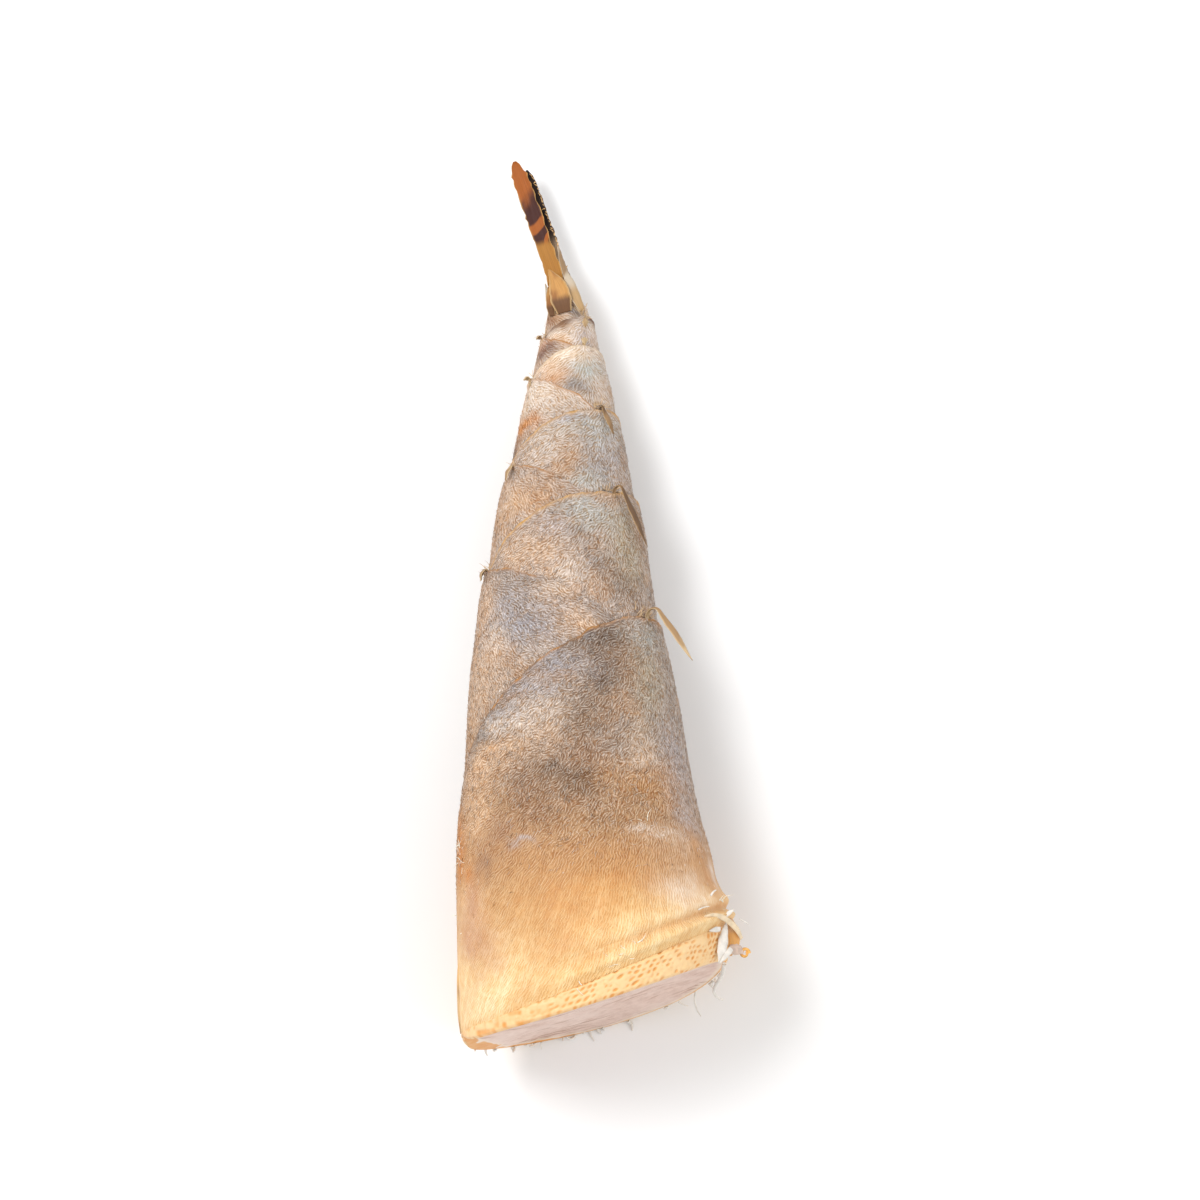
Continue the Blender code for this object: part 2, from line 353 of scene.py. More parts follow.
# Patches of colour on one sheath: its number, then station, angle, spread along and round in mm,
# how strong, and the colour.
PATCHES = (
    (1, 30, 142, 12, 18, 0.6, srgb(244, 214, 166)),
    (1, 46, 154, 9, 12, 0.5, srgb(232, 196, 150)),
    (1, 40, 96, 7, 14, 0.4, srgb(206, 152, 92)),
    (1, 37, 47, 8, 8, 0.6, CREAM_WHITE),
    (1, 29, 38, 5, 8, 0.45, CREAM_WHITE),
    (1, 42, 14, 8, 3, 0.6, PALE),
    (1, 36, 24, 6, 3, 0.5, AMBER),
    (1, 24, 145, 6, 20, 0.6, LIGHT_GOLD),
    (1, 27, 66, 6, 16, 0.7, LIGHT_GOLD),
    (1, 22, 117, 3, 6, 0.4, AMBER),
    (1, 31, 102, 4, 8, 0.45, AMBER),
    (1, 38, 86, 6, 6, 0.5, AMBER),
    (1, 46, 74, 6, 5, 0.4, AMBER),
    (1, 56, 164, 7, 5, 0.9, ORANGE),
    (1, 52, 150, 2.5, 3.5, 0.8, ORANGE),
    (1, 64, 167, 5, 5, 0.6, ORANGE),
    (1, 39, 150, 5, 10, 0.55, MAUVE),
    (1, 33, 138, 4, 6, 0.35, MAUVE),
    (1, 46, 148, 5, 5, 0.5, MAUVE),
    (1, 54, 139, 5, 4, 0.55, PURPLE_BROWN),
    (1, 61, 128, 5, 4.5, 0.5, PURPLE_BROWN),
    (1, 57, 117, 1.2, 3.2, 0.9, LAVENDER),
    (1, 60.5, 61, 1, 5, 0.6, PALE),
    (1, 58.5, 49, 1.2, 6, 0.55, PALE),
    (1, 66, 146, 6, 9, 0.6, SALMON),
    (1, 78, 150, 6, 9, 0.7, SALMON),
    (1, 66, 112, 6, 6, 0.55, BROWN),
    (1, 75, 98, 7, 12, 0.6, TAUPE),
    (1, 74.5, 92, 3, 5, 0.7, DEEP_TAUPE),
    (1, 78, 105, 2.6, 4.5, 0.6, DEEP_TAUPE),
    (1, 66, 97, 5, 7, 0.4, BROWN),
    (1, 74, 56, 4.5, 15, 0.8, GOLD_BROWN),
    (1, 69, 40, 4, 7, 0.6, GOLD_BROWN),
    (1, 83, 88, 5, 6, 0.6, BROWN),
    (1, 92, 87, 5, 5, 0.6, TAUPE),
    (1, 97, 84, 7, 7, 0.6, TAUPE),
    (1, 114, 86, 5, 6, 0.6, TAUPE),
    (1, 109, 73, 10, 8, 0.7, TAUPE),
    (1, 106, 76, 4, 4, 0.5, DEEP_TAUPE),
    (1, 88, 96, 4, 5, 0.5, TAUPE),
    (1, 70, 116, 6, 4, 0.6, BROWN),
    (1, 91, 151, 2.2, 6, 0.8, SLATE),
    (1, 96, 141, 1.8, 6, 0.6, SLATE),
    (1, 118, 70, 5, 10, 0.8, DEEP_TAUPE),
    (1, 119, 86, 2.5, 4, 0.7, SLATE),
    (1, 111, 58, 8, 5, 0.6, BROWN),
    (1, 109, 99, 4, 9, 0.65, BLUE_GREY),
    (1, 103, 117, 3.4, 9, 0.6, BLUE_GREY),
    (1, 97, 131, 3, 7, 0.5, BLUE_GREY),
    (1, 101, 125, 1.8, 4, 0.7, BROWN),
    (1, 93, 131, 4, 11, 0.55, PALE),
    (1, 98, 112, 4, 8, 0.3, PALE),
    (1, 89, 112, 5, 6, 0.3, CREAM),
    (1, 84, 134, 2.6, 9, 0.5, SALMON),
    (1, 84, 55, 6, 7, 0.6, CREAM),
    (1, 104, 42, 14, 8, 0.6, OLIVE),
    (1, 119, 38, 4, 9, 0.6, COOL),
    (1, 84, 26, 14, 9, 0.75, LAVENDER),
    (1, 64, 26, 7, 7, 0.6, LAVENDER),
    (1, 55, 40, 6, 10, 0.35, CREAM),
    (1, 98, 20, 14, 6, 0.75, WARM_GREY),
    (1, 52, 28, 8, 4, 0.5, AMBER),
    (2, 122, 121, 7, 13, 0.65, BLUE_GREY),
    (2, 131, 136, 5, 8, 0.45, BLUE_GREY),
    (2, 133, 96, 3.5, 6, 0.5, CREAM),
    (2, 117, 144, 4, 5, 0.6, PALE),
    (2, 108, 150, 7, 7, 0.5, SALMON),
    (2, 98, 160, 8, 5, 0.5, SALMON),
    (2, 87, 165, 4, 5, 0.6, GOLD_BROWN),
    (2, 130, 158, 7, 5, 0.5, SALMON),
    (2, 122, 84, 4, 6, 0.5, SALMON),
    (3, 150, 82, 7, 8, 0.5, SLATE),
    (3, 156, 66, 5, 10, 0.7, COOL),
    (3, 152, 102, 3, 6, 0.5, LAVENDER),
    (3, 135, 50, 6, 6, 0.65, TAUPE),
    (3, 141, 67, 4, 4.5, 0.55, SLATE),
    (3, 147, 38, 10, 7, 0.7, OLIVE),
    (3, 144, 122, 6, 12, 0.45, SALMON),
    (3, 152, 22, 6, 4, 0.7, BROWN),
    (3, 137, 92, 4, 6, 0.45, PALE),
    (4, 160, 146, 6, 8, 0.6, SALMON),
    (4, 154, 160, 4, 5, 0.5, GOLD_BROWN),
    (4, 163, 118, 6, 8, 0.4, TAN),
    (4, 168, 164, 2, 4, 0.6, TAN),
    (5, 183, 62, 6, 11, 0.7, COOL),
    (5, 174, 52, 8, 10, 0.55, BLUE_GREY),
    (5, 168, 72, 4, 7, 0.75, COOL),
    (5, 187, 88, 2.4, 5, 0.6, BLUE_GREY),
    (5, 176, 112, 6, 8, 0.25, PALE),
    (5, 175, 86, 6, 6, 0.5, WARM_GREY),
    (5, 172, 92, 4, 4, 0.5, TAN),
    (6, 186, 152, 3, 8, 0.95, ORANGE),
    (6, 181, 158, 2.5, 5, 0.8, BROWN),
    (6, 176, 166, 4, 3, 0.9, DARK),
    (6, 194.5, 145, 5, 9, 0.5, CREAM_WHITE),
    (7, 200.5, 107, 3, 5, 0.9, srgb(220, 168, 122)),
    (7, 204, 126, 3, 4, 0.7, SALMON),
    (7, 197, 74, 3.6, 6, 0.7, SLATE),
    (7, 203, 60, 4, 8, 0.8, COOL),
    (7, 207, 92, 2.2, 8, 0.8, CREAM_WHITE),
    (8, 208, 152, 4, 6, 1, srgb(128, 98, 84)),
    (8, 212, 138, 2.4, 5, 0.7, MAUVE),
    (9, 216, 72, 4, 6, 0.7, PALE),
    (9, 213, 50, 4, 4, 0.6, LAVENDER),
    (9, 212, 116, 1.6, 4, 0.6, SALMON),
    (9, 217, 118, 2, 5, 0.8, BROWN),
    (10, 218, 155, 4, 3, 0.8, PURPLE_BROWN),
    (10, 222, 82, 2, 4, 0.8, LAVENDER),
    (10, 219, 132, 2.6, 4, 0.4, TAN),
    (10, 221, 66, 2, 2.6, 0.8, SLATE),
    (11, 226.8, 116, 2.3, 1.5, 1.1, DARK),
    (11, 224.4, 102, 1.2, 1.4, 0.8, DARK),
    (11, 223, 84, 1, 1.8, 0.8, DARK),
    (11, 225.5, 158, 3, 1, 0.8, DARK),
    (11, 228.5, 86, 3, 1, 0.7, GOLD),
    (12, 228, 60, 7, 4, 0.9, PALE),
)


def mix(low, high, share):
    """Colours between two, with a share for each point."""
    return low + (high - low) * np.asarray(share)[..., None]


def tint_of(number, station, angle, points, from_top):
    """Colour of a sheath at each point, with painted shade on its sides and painted sheen on its right, and
    how thick its felt is.
    """
    lumps = fractal(points / 24.0, 5)
    small = fractal(points / 7.0, 9)
    crumbs = fractal(points / 4.0, 14)
    height = station + 8.0 * lumps
    stops = [row[0] for row in ALONG]
    channels = zip(*(srgb(*row[1:]) for row in ALONG))
    colour = np.stack([np.interp(height, stops, channel) for channel in channels], axis=-1)
    turn = wrapped(angle)
    # Darker and browner along the left side: partly the sheath's own tone, partly painted shade where that
    # side turns from the light.
    left_edge = smooth((np.abs(turn) - 150.0) / 22.0) * smooth((height - 60.0) / 30.0)
    colour = mix(colour, TAN, 0.55 * left_edge)
    # Painted sheen and shade: the right side goes greyer where light grazes the felt.
    right_edge = smooth((48.0 - np.abs(turn)) / 40.0) * smooth((height - 45.0) / 20.0)
    colour = mix(colour, WARM_GREY, 0.5 * right_edge)
    blotch = smooth((fractal(points / 12.0, 21) - 0.1) / 0.5)
    fading = smooth((height - 60.0) / 20.0) * (1.0 - 0.6 * smooth((height - 180.0) / 20.0))
    colour = mix(colour, SLATE, blotch * 0.35 * fading)
    rust = smooth((fractal(points / 9.0, 33) - 0.15) / 0.45)
    colour = mix(colour, TAN, rust * 0.5 * fading)
    under = np.exp(-from_top / (3.2 + 1.4 * small)) * smooth((height - 60.0) / 20.0)
    under = under * smooth((205.0 - height) / 60.0)
    colour = mix(colour, SLATE, 0.45 * np.clip(under * (0.8 + 0.8 * lumps), 0.0, 1.0))
    radius = full_width(station) - number * PITCH
    for sheath, patch_station, patch_angle, long, wide, strength, patch in PATCHES:
        if sheath != number:
            continue
        off_along = (station - patch_station + 2.6 * small) / long
        off_round = wrapped(turn - patch_angle) * np.pi / 180.0 * radius
        off_round = (off_round + 3.0 * lumps) / wide
        weight = np.exp(-(off_along**2 + off_round**2)) * (1.1 + 0.45 * crumbs)
        colour = mix(colour, patch, np.clip(strength * weight, 0.0, 1.0))
    felt = smooth((height + 6.0 * small - 28.0) / 56.0)
    felt = felt * (1.0 - 0.2 * smooth((station - 120.0) / 50.0))
    felt = felt * (1.0 - 0.45 * smooth((station - 172.0) / 35.0))
    felt = felt * (0.12 if number > AMBER_LAYER else 1.0)
    return np.clip(colour, 0.0, 1.0), felt


# ---------------------------------------------------------------- materials
class Nodes:
    """A short way to build a material's nodes."""

    def __init__(self, name):
        self.material = bpy.data.materials.new(name)
        self.material.use_nodes = True
        self.tree = self.material.node_tree
        self.shader = self.tree.nodes["Principled BSDF"]

    def add(self, kind, settings=None, **inputs):
        made = self.tree.nodes.new(kind)
        for key, value in (settings or {}).items():
            setattr(made, key, value)
        for key, value in inputs.items():
            self.put(made, key, value)
        return made

    def place(self):
        """Where a point is on its piece, in metres."""
        return self.add("ShaderNodeTexCoord").outputs["Object"]

    def put(self, node, key, value):
        """Sets or links an input. A key of _0, _1 and so on is its number, and any other its name."""
        socket = node.inputs[int(key[1:]) if key[0] == "_" else key.replace("_", " ")]
        if isinstance(value, bpy.types.NodeSocket):
            self.tree.links.new(value, socket)
        else:
            socket.default_value = value

    def attribute(self, name, output):
        return self.add("ShaderNodeAttribute", {"attribute_name": name}).outputs[output]

    def noise(self, vector, scale, detail=3.0, rough=0.55, distortion=0.0, output="Fac"):
        made = self.add("ShaderNodeTexNoise", Vector=vector, Scale=scale, Detail=detail)
        self.put(made, "Roughness", rough)
        self.put(made, "Distortion", distortion)
        return made.outputs[output]

    def gabor(self, vector, scale, frequency, anisotropy, across):
        """Ridges and valleys that lie across a vector, one pair in 1 / (scale * frequency)."""
        made = self.add("ShaderNodeTexGabor", {"gabor_type": "3D"}, Vector=vector, Scale=scale)
        self.put(made, "Frequency", frequency)
        self.put(made, "Anisotropy", anisotropy)
        turned = [socket for socket in made.inputs if socket.name == "Orientation"]
        self.tree.links.new(across, next(socket for socket in turned if socket.type == "VECTOR"))
        return made.outputs["Value"]

    def times(self, first, second, clamp=False):
        return self.maths("MULTIPLY", first, second, clamp)

    def maths(self, operation, first, second=0.0, clamp=False):
        settings = {"operation": operation, "use_clamp": clamp}
        return self.add("ShaderNodeMath", settings, _0=first, _1=second).outputs[0]

    def ramp(self, value, low, high, to_low=0.0, to_high=1.0):
        made = self.add("ShaderNodeMapRange", {"interpolation_type": "SMOOTHSTEP"})
        for key, given in zip("_0 _1 _2 _3 _4".split(), (value, low, high, to_low, to_high)):
            self.put(made, key, given)
        return made.outputs[0]

    def vector(self, operation, first, second):
        settings = {"operation": operation}
        return self.add("ShaderNodeVectorMath", settings, _0=first, _1=second).outputs[0]

    def scaled(self, vector, scale):
        return self.vector("MULTIPLY", vector, scale)

    def scaled_by(self, vector, factor):
        settings = {"operation": "SCALE"}
        return self.add("ShaderNodeVectorMath", settings, _0=vector, Scale=factor).outputs[0]

    def blend(self, share, first, second):
        settings = {"data_type": "RGBA"}
        return self.add("ShaderNodeMix", settings, _0=share, _6=first, _7=second).outputs[2]

    def shaded(self, share, colour, factors):
        """The colour, with a share of it multiplied by a factor for each channel."""
        return self.blend(share, colour, self.scaled(colour, factors))

    def finish(self, colour, roughness, specular=0.5, height=None, distance=0.0, strength=1.0):
        """Sets the shader, with bumps of a distance in metres where a height is given."""
        self.put(self.shader, "Base Color", colour)
        self.put(self.shader, "Roughness", roughness)
        self.put(self.shader, "Specular IOR Level", specular)
        if height is not None:
            made = self.add("ShaderNodeBump", Height=height, Distance=distance, Strength=strength)
            self.put(self.shader, "Normal", made.outputs["Normal"])
        return self.material


def rgba(colour):
    return (*[float(c) for c in colour], 1.0)


def paint(red, green, blue):
    return rgba(srgb(red, green, blue))


# Specks on the sheaths: how many to a mm, how large, from what share up, and how dark.
SPECKS = ((0.42, 0.13, 0.55, (0.66, 0.47, 0.32)), (0.17, 0.07, 0.5, (0.30, 0.25, 0.22)))


def sheath_material():
    """Felted sheath: ridges along the veins, nearly smooth on the foot and in swirls above it."""
    n = Nodes("sheath_felt_looks")
    where = n.scaled_by(n.place(), 1.0 / MM)
    weave = n.attribute("weave", "Vector")
    tint = n.attribute("tint", "Color")
    felt = n.attribute("felt", "Fac")
    edge = n.attribute("edge", "Fac")
    bare = n.ramp(felt, 0.3, 0.0)
    swirl = n.noise(where, 0.3, 4.0, 0.6, output="Color")
    swirl = n.vector("SUBTRACT", swirl, (0.5, 0.5, 0.5))
    swirl = n.scaled_by(swirl, n.ramp(felt, 0.0, 1.0, 1.2, 6.5))
    across = n.vector("ADD", n.attribute("across_veins", "Vector"), swirl)
    ridge = n.gabor(where, 0.76, 1.65, 1.0, across)
    streak = n.noise(n.scaled(weave, (0.6, 0.03, 1.0)), 1.0, 4.0, 0.6)
    broad = n.noise(n.scaled(weave, (0.13, 0.014, 1.0)), 1.0, 3.0, 0.55)
    grain = n.noise(where, 2.6, 4.0, 0.65)
    mottle = n.noise(where, 0.4, 3.0, 0.6)
    freckle = n.noise(where, 0.9, 2.0, 0.5)
    clumps = n.noise(where, 0.7, 2.0, 0.5)
    colour = n.shaded(n.ramp(streak, 0.35, 0.68, 0.0, 0.28), tint, (0.84, 0.70, 0.52))
    wash = n.times(n.ramp(broad, 0.44, 0.60), n.ramp(bare, 0.0, 1.0, 0.15, 0.3))
    colour = n.shaded(wash, colour, (0.84, 0.70, 0.58))
    light = n.times(n.ramp(streak, 0.5, 0.34), bare)
    colour = n.shaded(n.times(light, 0.5), colour, (1.08, 1.14, 1.26))
    dull = n.blend(felt, n.scaled(colour, (0.95, 0.84, 0.70)), n.scaled(colour, (0.76, 0.70, 0.64)))
    colour = n.blend(n.ramp(mottle, 0.42, 0.60, 0.0, 0.6), colour, dull)
    rusty = n.times(n.ramp(freckle, 0.51, 0.62), n.ramp(felt, 0.1, 0.8, 0.0, 0.85))
    colour = n.shaded(rusty, colour, (0.84, 0.68, 0.50))
    ashen = n.times(n.ramp(clumps, 0.46, 0.34), n.ramp(felt, 0.1, 0.8, 0.0, 0.7))
    colour = n.shaded(ashen, colour, (1.14, 1.18, 1.24))
    deepness = n.times(n.ramp(felt, 0.0, 0.3, 0.62, 0.9), n.ramp(clumps, 0.36, 0.64, 0.55, 1.1))
    valley = n.times(n.ramp(ridge, 0.485, 0.38), deepness, clamp=True)
    crest = n.times(n.ramp(ridge, 0.515, 0.62), n.ramp(felt, 0.0, 0.3, 0.72, 0.78))
    pale = n.blend(0.26, n.scaled_by(colour, 1.28), rgba(PALE))
    pale = n.blend(felt, n.scaled(colour, (1.10, 1.14, 1.22)), pale)
    deep = n.blend(felt, n.scaled(colour, (0.86, 0.70, 0.48)), n.scaled(colour, (0.62, 0.50, 0.38)))
    colour = n.blend(valley, colour, deep)
    colour = n.blend(crest, colour, pale)
    colour = n.shaded(n.ramp(grain, 0.35, 0.75, 0.0, 0.18), colour, (0.8, 0.7, 0.6))
    for scale, size, share, shade in SPECKS:
        speck = n.add("ShaderNodeTexVoronoi", Vector=where, Scale=scale)
        kinds = n.add("ShaderNodeSeparateColor", _0=speck.outputs["Color"])
        spot = n.ramp(speck.outputs["Distance"], size, 0.55 * size)
        spot = n.times(spot, n.ramp(kinds.outputs[0], share, share + 0.02))
        spot = n.times(spot, n.ramp(felt, 0.0, 0.6, 0.25, 0.9))
        colour = n.shaded(spot, colour, shade)
    white_spot = n.ramp(speck.outputs["Distance"], 0.075, 0.045)
    white_spot = n.times(white_spot, n.ramp(kinds.outputs[0], 0.25, 0.23))
    colour = n.blend(n.times(white_spot, felt), colour, paint(250, 248, 244))
    colour = n.blend(edge, colour, tint)
    rise = n.times(n.ramp(ridge, 0.38, 0.62), n.ramp(felt, 0.0, 0.3, 0.65, 1.0))
    return n.finish(colour, n.ramp(felt, 0.0, 1.0, 0.5, 0.85), 0.3, rise, 0.2 * MM)


def plain_material(name, tint, roughness, spread=0.25, scale=900.0):
    """One colour, given as seen on a screen, that varies by a share of itself."""
    n = Nodes(name)
    colour = srgb(*tint)
    shade = n.ramp(n.noise(n.place(), scale), 0.3, 0.7)
    low, high = rgba(colour * (1 - spread)), rgba(np.minimum(colour * (1 + spread), 1))
    return n.finish(n.blend(shade, low, high), roughness)


# ---------------------------------------------------------------- sheaths
REACH = 184.0  # how far round a sheath goes each way, in degrees, so that its sides overlap
TUCKED = 7.0  # how far the fine grid goes on under the sheath outside it
SUNK = 0.22  # how far a sheath sinks there
OVERLAP_STEP = 0.15  # how far a sheath's sides lie above and below its middle, to lap over
LAST_STEP = 0.35  # the height of the last row of faces, at the upper edge
FOOT_STEP = 0.3  # how far above its foot in the CAD a sheath begins
# The inner face has every fifth row of the outer one, and every second among those near the edge.
INNER_EVERY, INNER_NEAR_EDGE, NEAR_EDGE_ROWS = 5, 2, 14


def large_relief(points):
    """Slow swells that all layers share, so that none comes through another."""
    return 0.45 * noise(points / 34.0, 3) + 0.16 * noise(points / 12.0, 4)


def edge_line(layer, away):
    """The station of a sheath's ragged upper edge."""
    sheath = SHEATHS[layer]
    radius = along_outline(sheath.top, 2)
    walk = np.radians(away) * radius
    flat = np.stack([walk, np.full_like(walk, layer * 7.3), np.zeros_like(walk)], axis=-1)
    ragged = 0.5 * noise(flat / 4.0, 40) + 0.25 * noise(flat / 1.1, 41)
    return upper_edge(sheath, away) + ragged


def covered_to(layer, angle):
    """The station up to which the sheaths outside this one cover it."""
    covered = np.full(np.shape(angle), SHEATHS[layer].foot)
    for outside in SHEATHS[:layer]:
        covered = np.maximum(covered, upper_edge(outside, wrapped(angle - outside.angle)))
    return covered


def vein_spread(sheath, station):
    """How far round, in degrees, the outermost vein is at a station. Veins meet at the ligule."""
    left = np.maximum((sheath.top + 0.8 - station) / sheath.drop, 1e-3)
    return 180.0 * left ** (1.0 / sheath.power)


def foot_swell(station, angle):
    """Rolls round the foot of the shoot that all its sheaths share, fading leftwards."""
    up = station - SHEATHS[0].foot
    right = smooth((np.cos(np.radians(angle)) + 0.8) / 1.2)
    rolls = 1.5 * bell(up - 3.8, 1.6) - 1.1 * bell(up - 7.6, 1.6) + 0.5 * bell(up - 11.5, 2.2)
    slimmer = 1.7 * bell(up - 20.0, 10.0) * bell(wrapped(angle - 8.0), 34.0)
    return right * rolls - slimmer


def sheath_columns(sheath, around):
    """The angles of a sheath's columns, away from its blade, closer together on the upper side."""
    turns = [0.0]
    while turns[-1] < 2 * REACH:
        angle = (sheath.angle - REACH + turns[-1]) % 360.0
        upper = 0.5 + 0.5 * math.sin(math.radians(angle))
        turns.append(turns[-1] + math.degrees(GRID * (1.0 + 0.7 * (1.0 - upper)) / around))
    return np.array(turns) / turns[-1] * 2 * REACH - REACH


def sheath_stations(layer, top, covered):
    """The stations of a sheath's grid, and how many rows of it other sheaths hide."""
    foot = SHEATHS[layer].foot + FOOT_STEP
    start = np.clip(covered - TUCKED, foot, top - 1.5)
    tallest = float((top - start).max())
    fine = max(int(tallest / GRID), 6)
    hidden = max(int((start.max() - foot) / HIDDEN_GRID), 2) if layer else 0
    share = np.linspace(0.0, 1.0, fine + 1)
    share = np.concatenate([share[:-1], [1.0 - LAST_STEP / tallest, 1.0]])
    rows = [foot + (start - foot) * k / hidden for k in range(hidden)]
    return np.array(rows + [start + (top - start) * s for s in share]), hidden


def rows_inside(hidden, last):
    """The rows of the outer face that the rows of the inner one lie under."""
    near = last - NEAR_EDGE_ROWS
    chosen = {*range(hidden), *range(hidden, near, INNER_EVERY), last}
    chosen |= {row for row in range(near, last, INNER_NEAR_EDGE) if row >= 0}
    return np.array(sorted(chosen))


def foot_groove_shade_tints(tint, up, angles, points):
    """The outermost sheath's tints with painted shade in its grooves: golden-brown in the groove at its
    foot and a darker line in the groove above it.
    """
    # Painted shade: golden-brown in the groove at the sheath's foot.
    groove_shade = bell(up, 1.6) * (0.8 + 0.4 * noise(points / 5.0, 71))
    tint = mix(tint, srgb(236, 188, 128), np.clip(0.45 * groove_shade, 0.0, 1.0))
    # Painted shade: a darker line in the groove between the foot's rolls, on the right where the rolls are.
    line = bell(up - 7.4, 1.2) * smooth(np.cos(np.radians(angles)) + 0.6)
    return mix(tint, srgb(206, 156, 100), np.clip(0.55 * line, 0.0, 1.0))


def edge_tints(layer, tint, station, angles, points, from_top):
    """A sheath's tints with the line along its upper edge, darkened in places by dark felt and painted
    contact shadow, and how strong that line is.
    """
    edge_colour, edge_width = EDGES[layer]
    edge = bell(from_top, edge_width) * (0.8 + 0.6 * noise(points / 2.6, 70))
    edge = edge * smooth((angles - EDGE_FADES.get(layer, -360.0)) / 16.0)
    edge = np.clip(edge, 0.0, 1.0)
    # Darker edge towards low stations, with noise: partly dark felt, partly painted contact shadow where
    # the edge lies on the sheath inside it.
    dark_felt_and_shadow = smooth(0.5 + 2.0 * noise(points / 5.0, 77) + (104.0 - station) / 14.0)
    edge_colour = mix(edge_colour, DARK, (0.65 if layer == 0 else 0.25) * dark_felt_and_shadow)
    return mix(tint, edge_colour, edge), edge


def ways_across(sheath, station, veins, around, points):
    """The ways across a sheath's veins at each point of its outer face."""
    upward = unit(np.gradient(points, axis=0))
    outward = unit(np.cross(upward, np.gradient(points, axis=1)))
    turning = vein_spread(sheath, station + 0.5) - vein_spread(sheath, station - 0.5)
    lean = np.clip(-2.0 * np.radians(veins * turning) * around, -1.8, 1.8)
    vein = unit(upward + np.cross(upward, outward) * lean[..., None])
    return np.cross(vein, outward)


def build_sheath(layer, material):
    """A sheath as a closed shell, fine where it shows. It returns what the hairs need."""
    sheath = SHEATHS[layer]
    around = full_width(sheath.foot + 20.0) - layer * PITCH
    away = sheath_columns(sheath, around)
    top = edge_line(layer, away)
    covered = covered_to(layer, sheath.angle + away)
    station, hidden = sheath_stations(layer, top, covered)
    angles = np.broadcast_to(sheath.angle + away, station.shape)
    from_top = top - station
    up = station - sheath.foot - FOOT_STEP
    side = OVERLAP_STEP * away / 180.0
    thin = (PITCH - EDGE_STEP) * smooth(1.0 - from_top / THIN_OVER)
    sunk = SUNK * smooth((covered - station - 2.0) / 4.0)
    depth = layer * PITCH + thin - side + sunk
    base = surface(station, angles, depth)
    relief = large_relief(base) + foot_swell(station, angles)
    if layer == 0:
        relief = relief - 0.55 * bell(up, 1.3)
    veins = np.sign(away) * (np.abs(away) / vein_spread(sheath, station))
    foot_spread = vein_spread(sheath, sheath.foot)
    weave_x = veins * foot_spread * math.radians(around)
    slanted = weave_x * foot_spread / np.maximum(vein_spread(sheath, station), 70.0)
    ridge = np.stack([weave_x / 3.1, station / 60.0, np.full_like(station, layer * 3.7)], axis=-1)
    relief = relief + 0.08 * noise(ridge, 51)
    relief = relief + 0.16 * (1.0 + noise(base / 6.0, 61)) * smooth(1.0 - from_top / 1.6)
    outer = surface(station, angles, depth - relief)
    inner_rows = rows_inside(hidden, len(station) - 1)
    thick = 0.10 + 0.26 * smooth(from_top[inner_rows] / THIN_OVER)
    thick = thick * (0.45 + 0.55 * smooth((180.0 - np.abs(away)) / 25.0))
    inner = surface(station[inner_rows], angles[inner_rows], (depth - relief)[inner_rows] + thick)
    points, faces = shell(outer, inner, inner_rows)
    tint, felt = tint_of(layer + 1, station, angles, outer, from_top)
    if layer == 0:
        # Painted shade in the grooves of the foot.
        tint = foot_groove_shade_tints(tint, up, angles, outer)
    tint, edge = edge_tints(layer, tint, station, angles, outer, from_top)

    def spread(values):
        """A grid's values for the outer face and then for the rows of the inner one."""
        tail = values.shape[2:]
        return np.concatenate([values.reshape(-1, *tail), values[inner_rows].reshape(-1, *tail)])

    attributes = {
        "tint": np.concatenate([tint, np.ones((*station.shape, 1))], axis=-1),
        "felt": felt,
        "weave": np.stack([slanted, station, np.full_like(station, layer * 9.0)], axis=-1),
        "across_veins": ways_across(sheath, station, veins, around, outer),
        "edge": edge,
    }
    attributes = {key: spread(grid) for key, grid in attributes.items()}
    node = f"sheath_{layer + 1:02d}"
    piece = mesh_object(f"{node}_leaf", points, faces, material, attributes)
    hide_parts(node)
    grids = {
        "points": outer,
        "tint": tint,
        "felt": felt,
        "veins": veins,
        "station": station,
        "from_top": from_top,
        "covered": station < covered - 0.5,
    }
    return {"sheath": sheath, **{key: grid[hidden:] for key, grid in grids.items()}}


# ---------------------------------------------------------------- hairs
def unit(vectors):
    return vectors / np.maximum(np.linalg.norm(vectors, axis=-1, keepdims=True), 1e-9)


def hair_mesh(name, roots, ways, normals, lengths, width, colours, material):
    """Bent hairs of ten triangles each: a prism, then a spike that turns off from it."""
    side = unit(np.cross(ways, normals))
    lift = np.cross(side, ways)
    bend = rng.uniform(0.5, 1.6, len(roots)) * rng.choice([-1.0, 1.0], len(roots))
    onward = ways * np.cos(bend)[:, None] + side * np.sin(bend)[:, None]
    onward = unit(onward - normals * 0.12)
    half = 0.5 * width * rng.uniform(0.7, 1.3, len(roots))[:, None]
    middle = roots + ways * lengths[:, None] * 0.5
    corners = np.stack(
        [
            roots + side * half,
            roots - side * half,
            roots + lift * half * 1.4,
            middle + side * half * 0.8,
            middle - side * half * 0.8,
            middle + lift * half * 1.1,
            middle + onward * lengths[:, None] * 0.5,
        ],
        axis=1,
    )
    start = 7 * np.arange(len(roots))[:, None]
    pattern = [[0, 1, 2], [0, 3, 4], [0, 4, 1], [1, 4, 5], [1, 5, 2], [2, 5, 3], [2, 3, 0]]
    pattern = np.array(pattern + [[3, 6, 4], [4, 6, 5], [5, 6, 3]])
    faces = (start[:, None, :] + pattern[None]).reshape(-1, 3)
    tint = np.concatenate([np.repeat(colours, 7, axis=0), np.ones((7 * len(roots), 1))], axis=1)
    mesh_object(name, corners.reshape(-1, 3), [faces], material, {"tint": tint})


def hair_material():
    """The hairs' own tints, a little uneven."""
    n = Nodes("hair_looks")
    tint = n.attribute("tint", "Color")
    shade = n.ramp(n.noise(n.place(), 1500.0, 2.0), 0.3, 0.7)
    return n.finish(n.blend(shade, n.scaled_by(tint, 0.85), n.scaled_by(tint, 1.1)), 0.6)


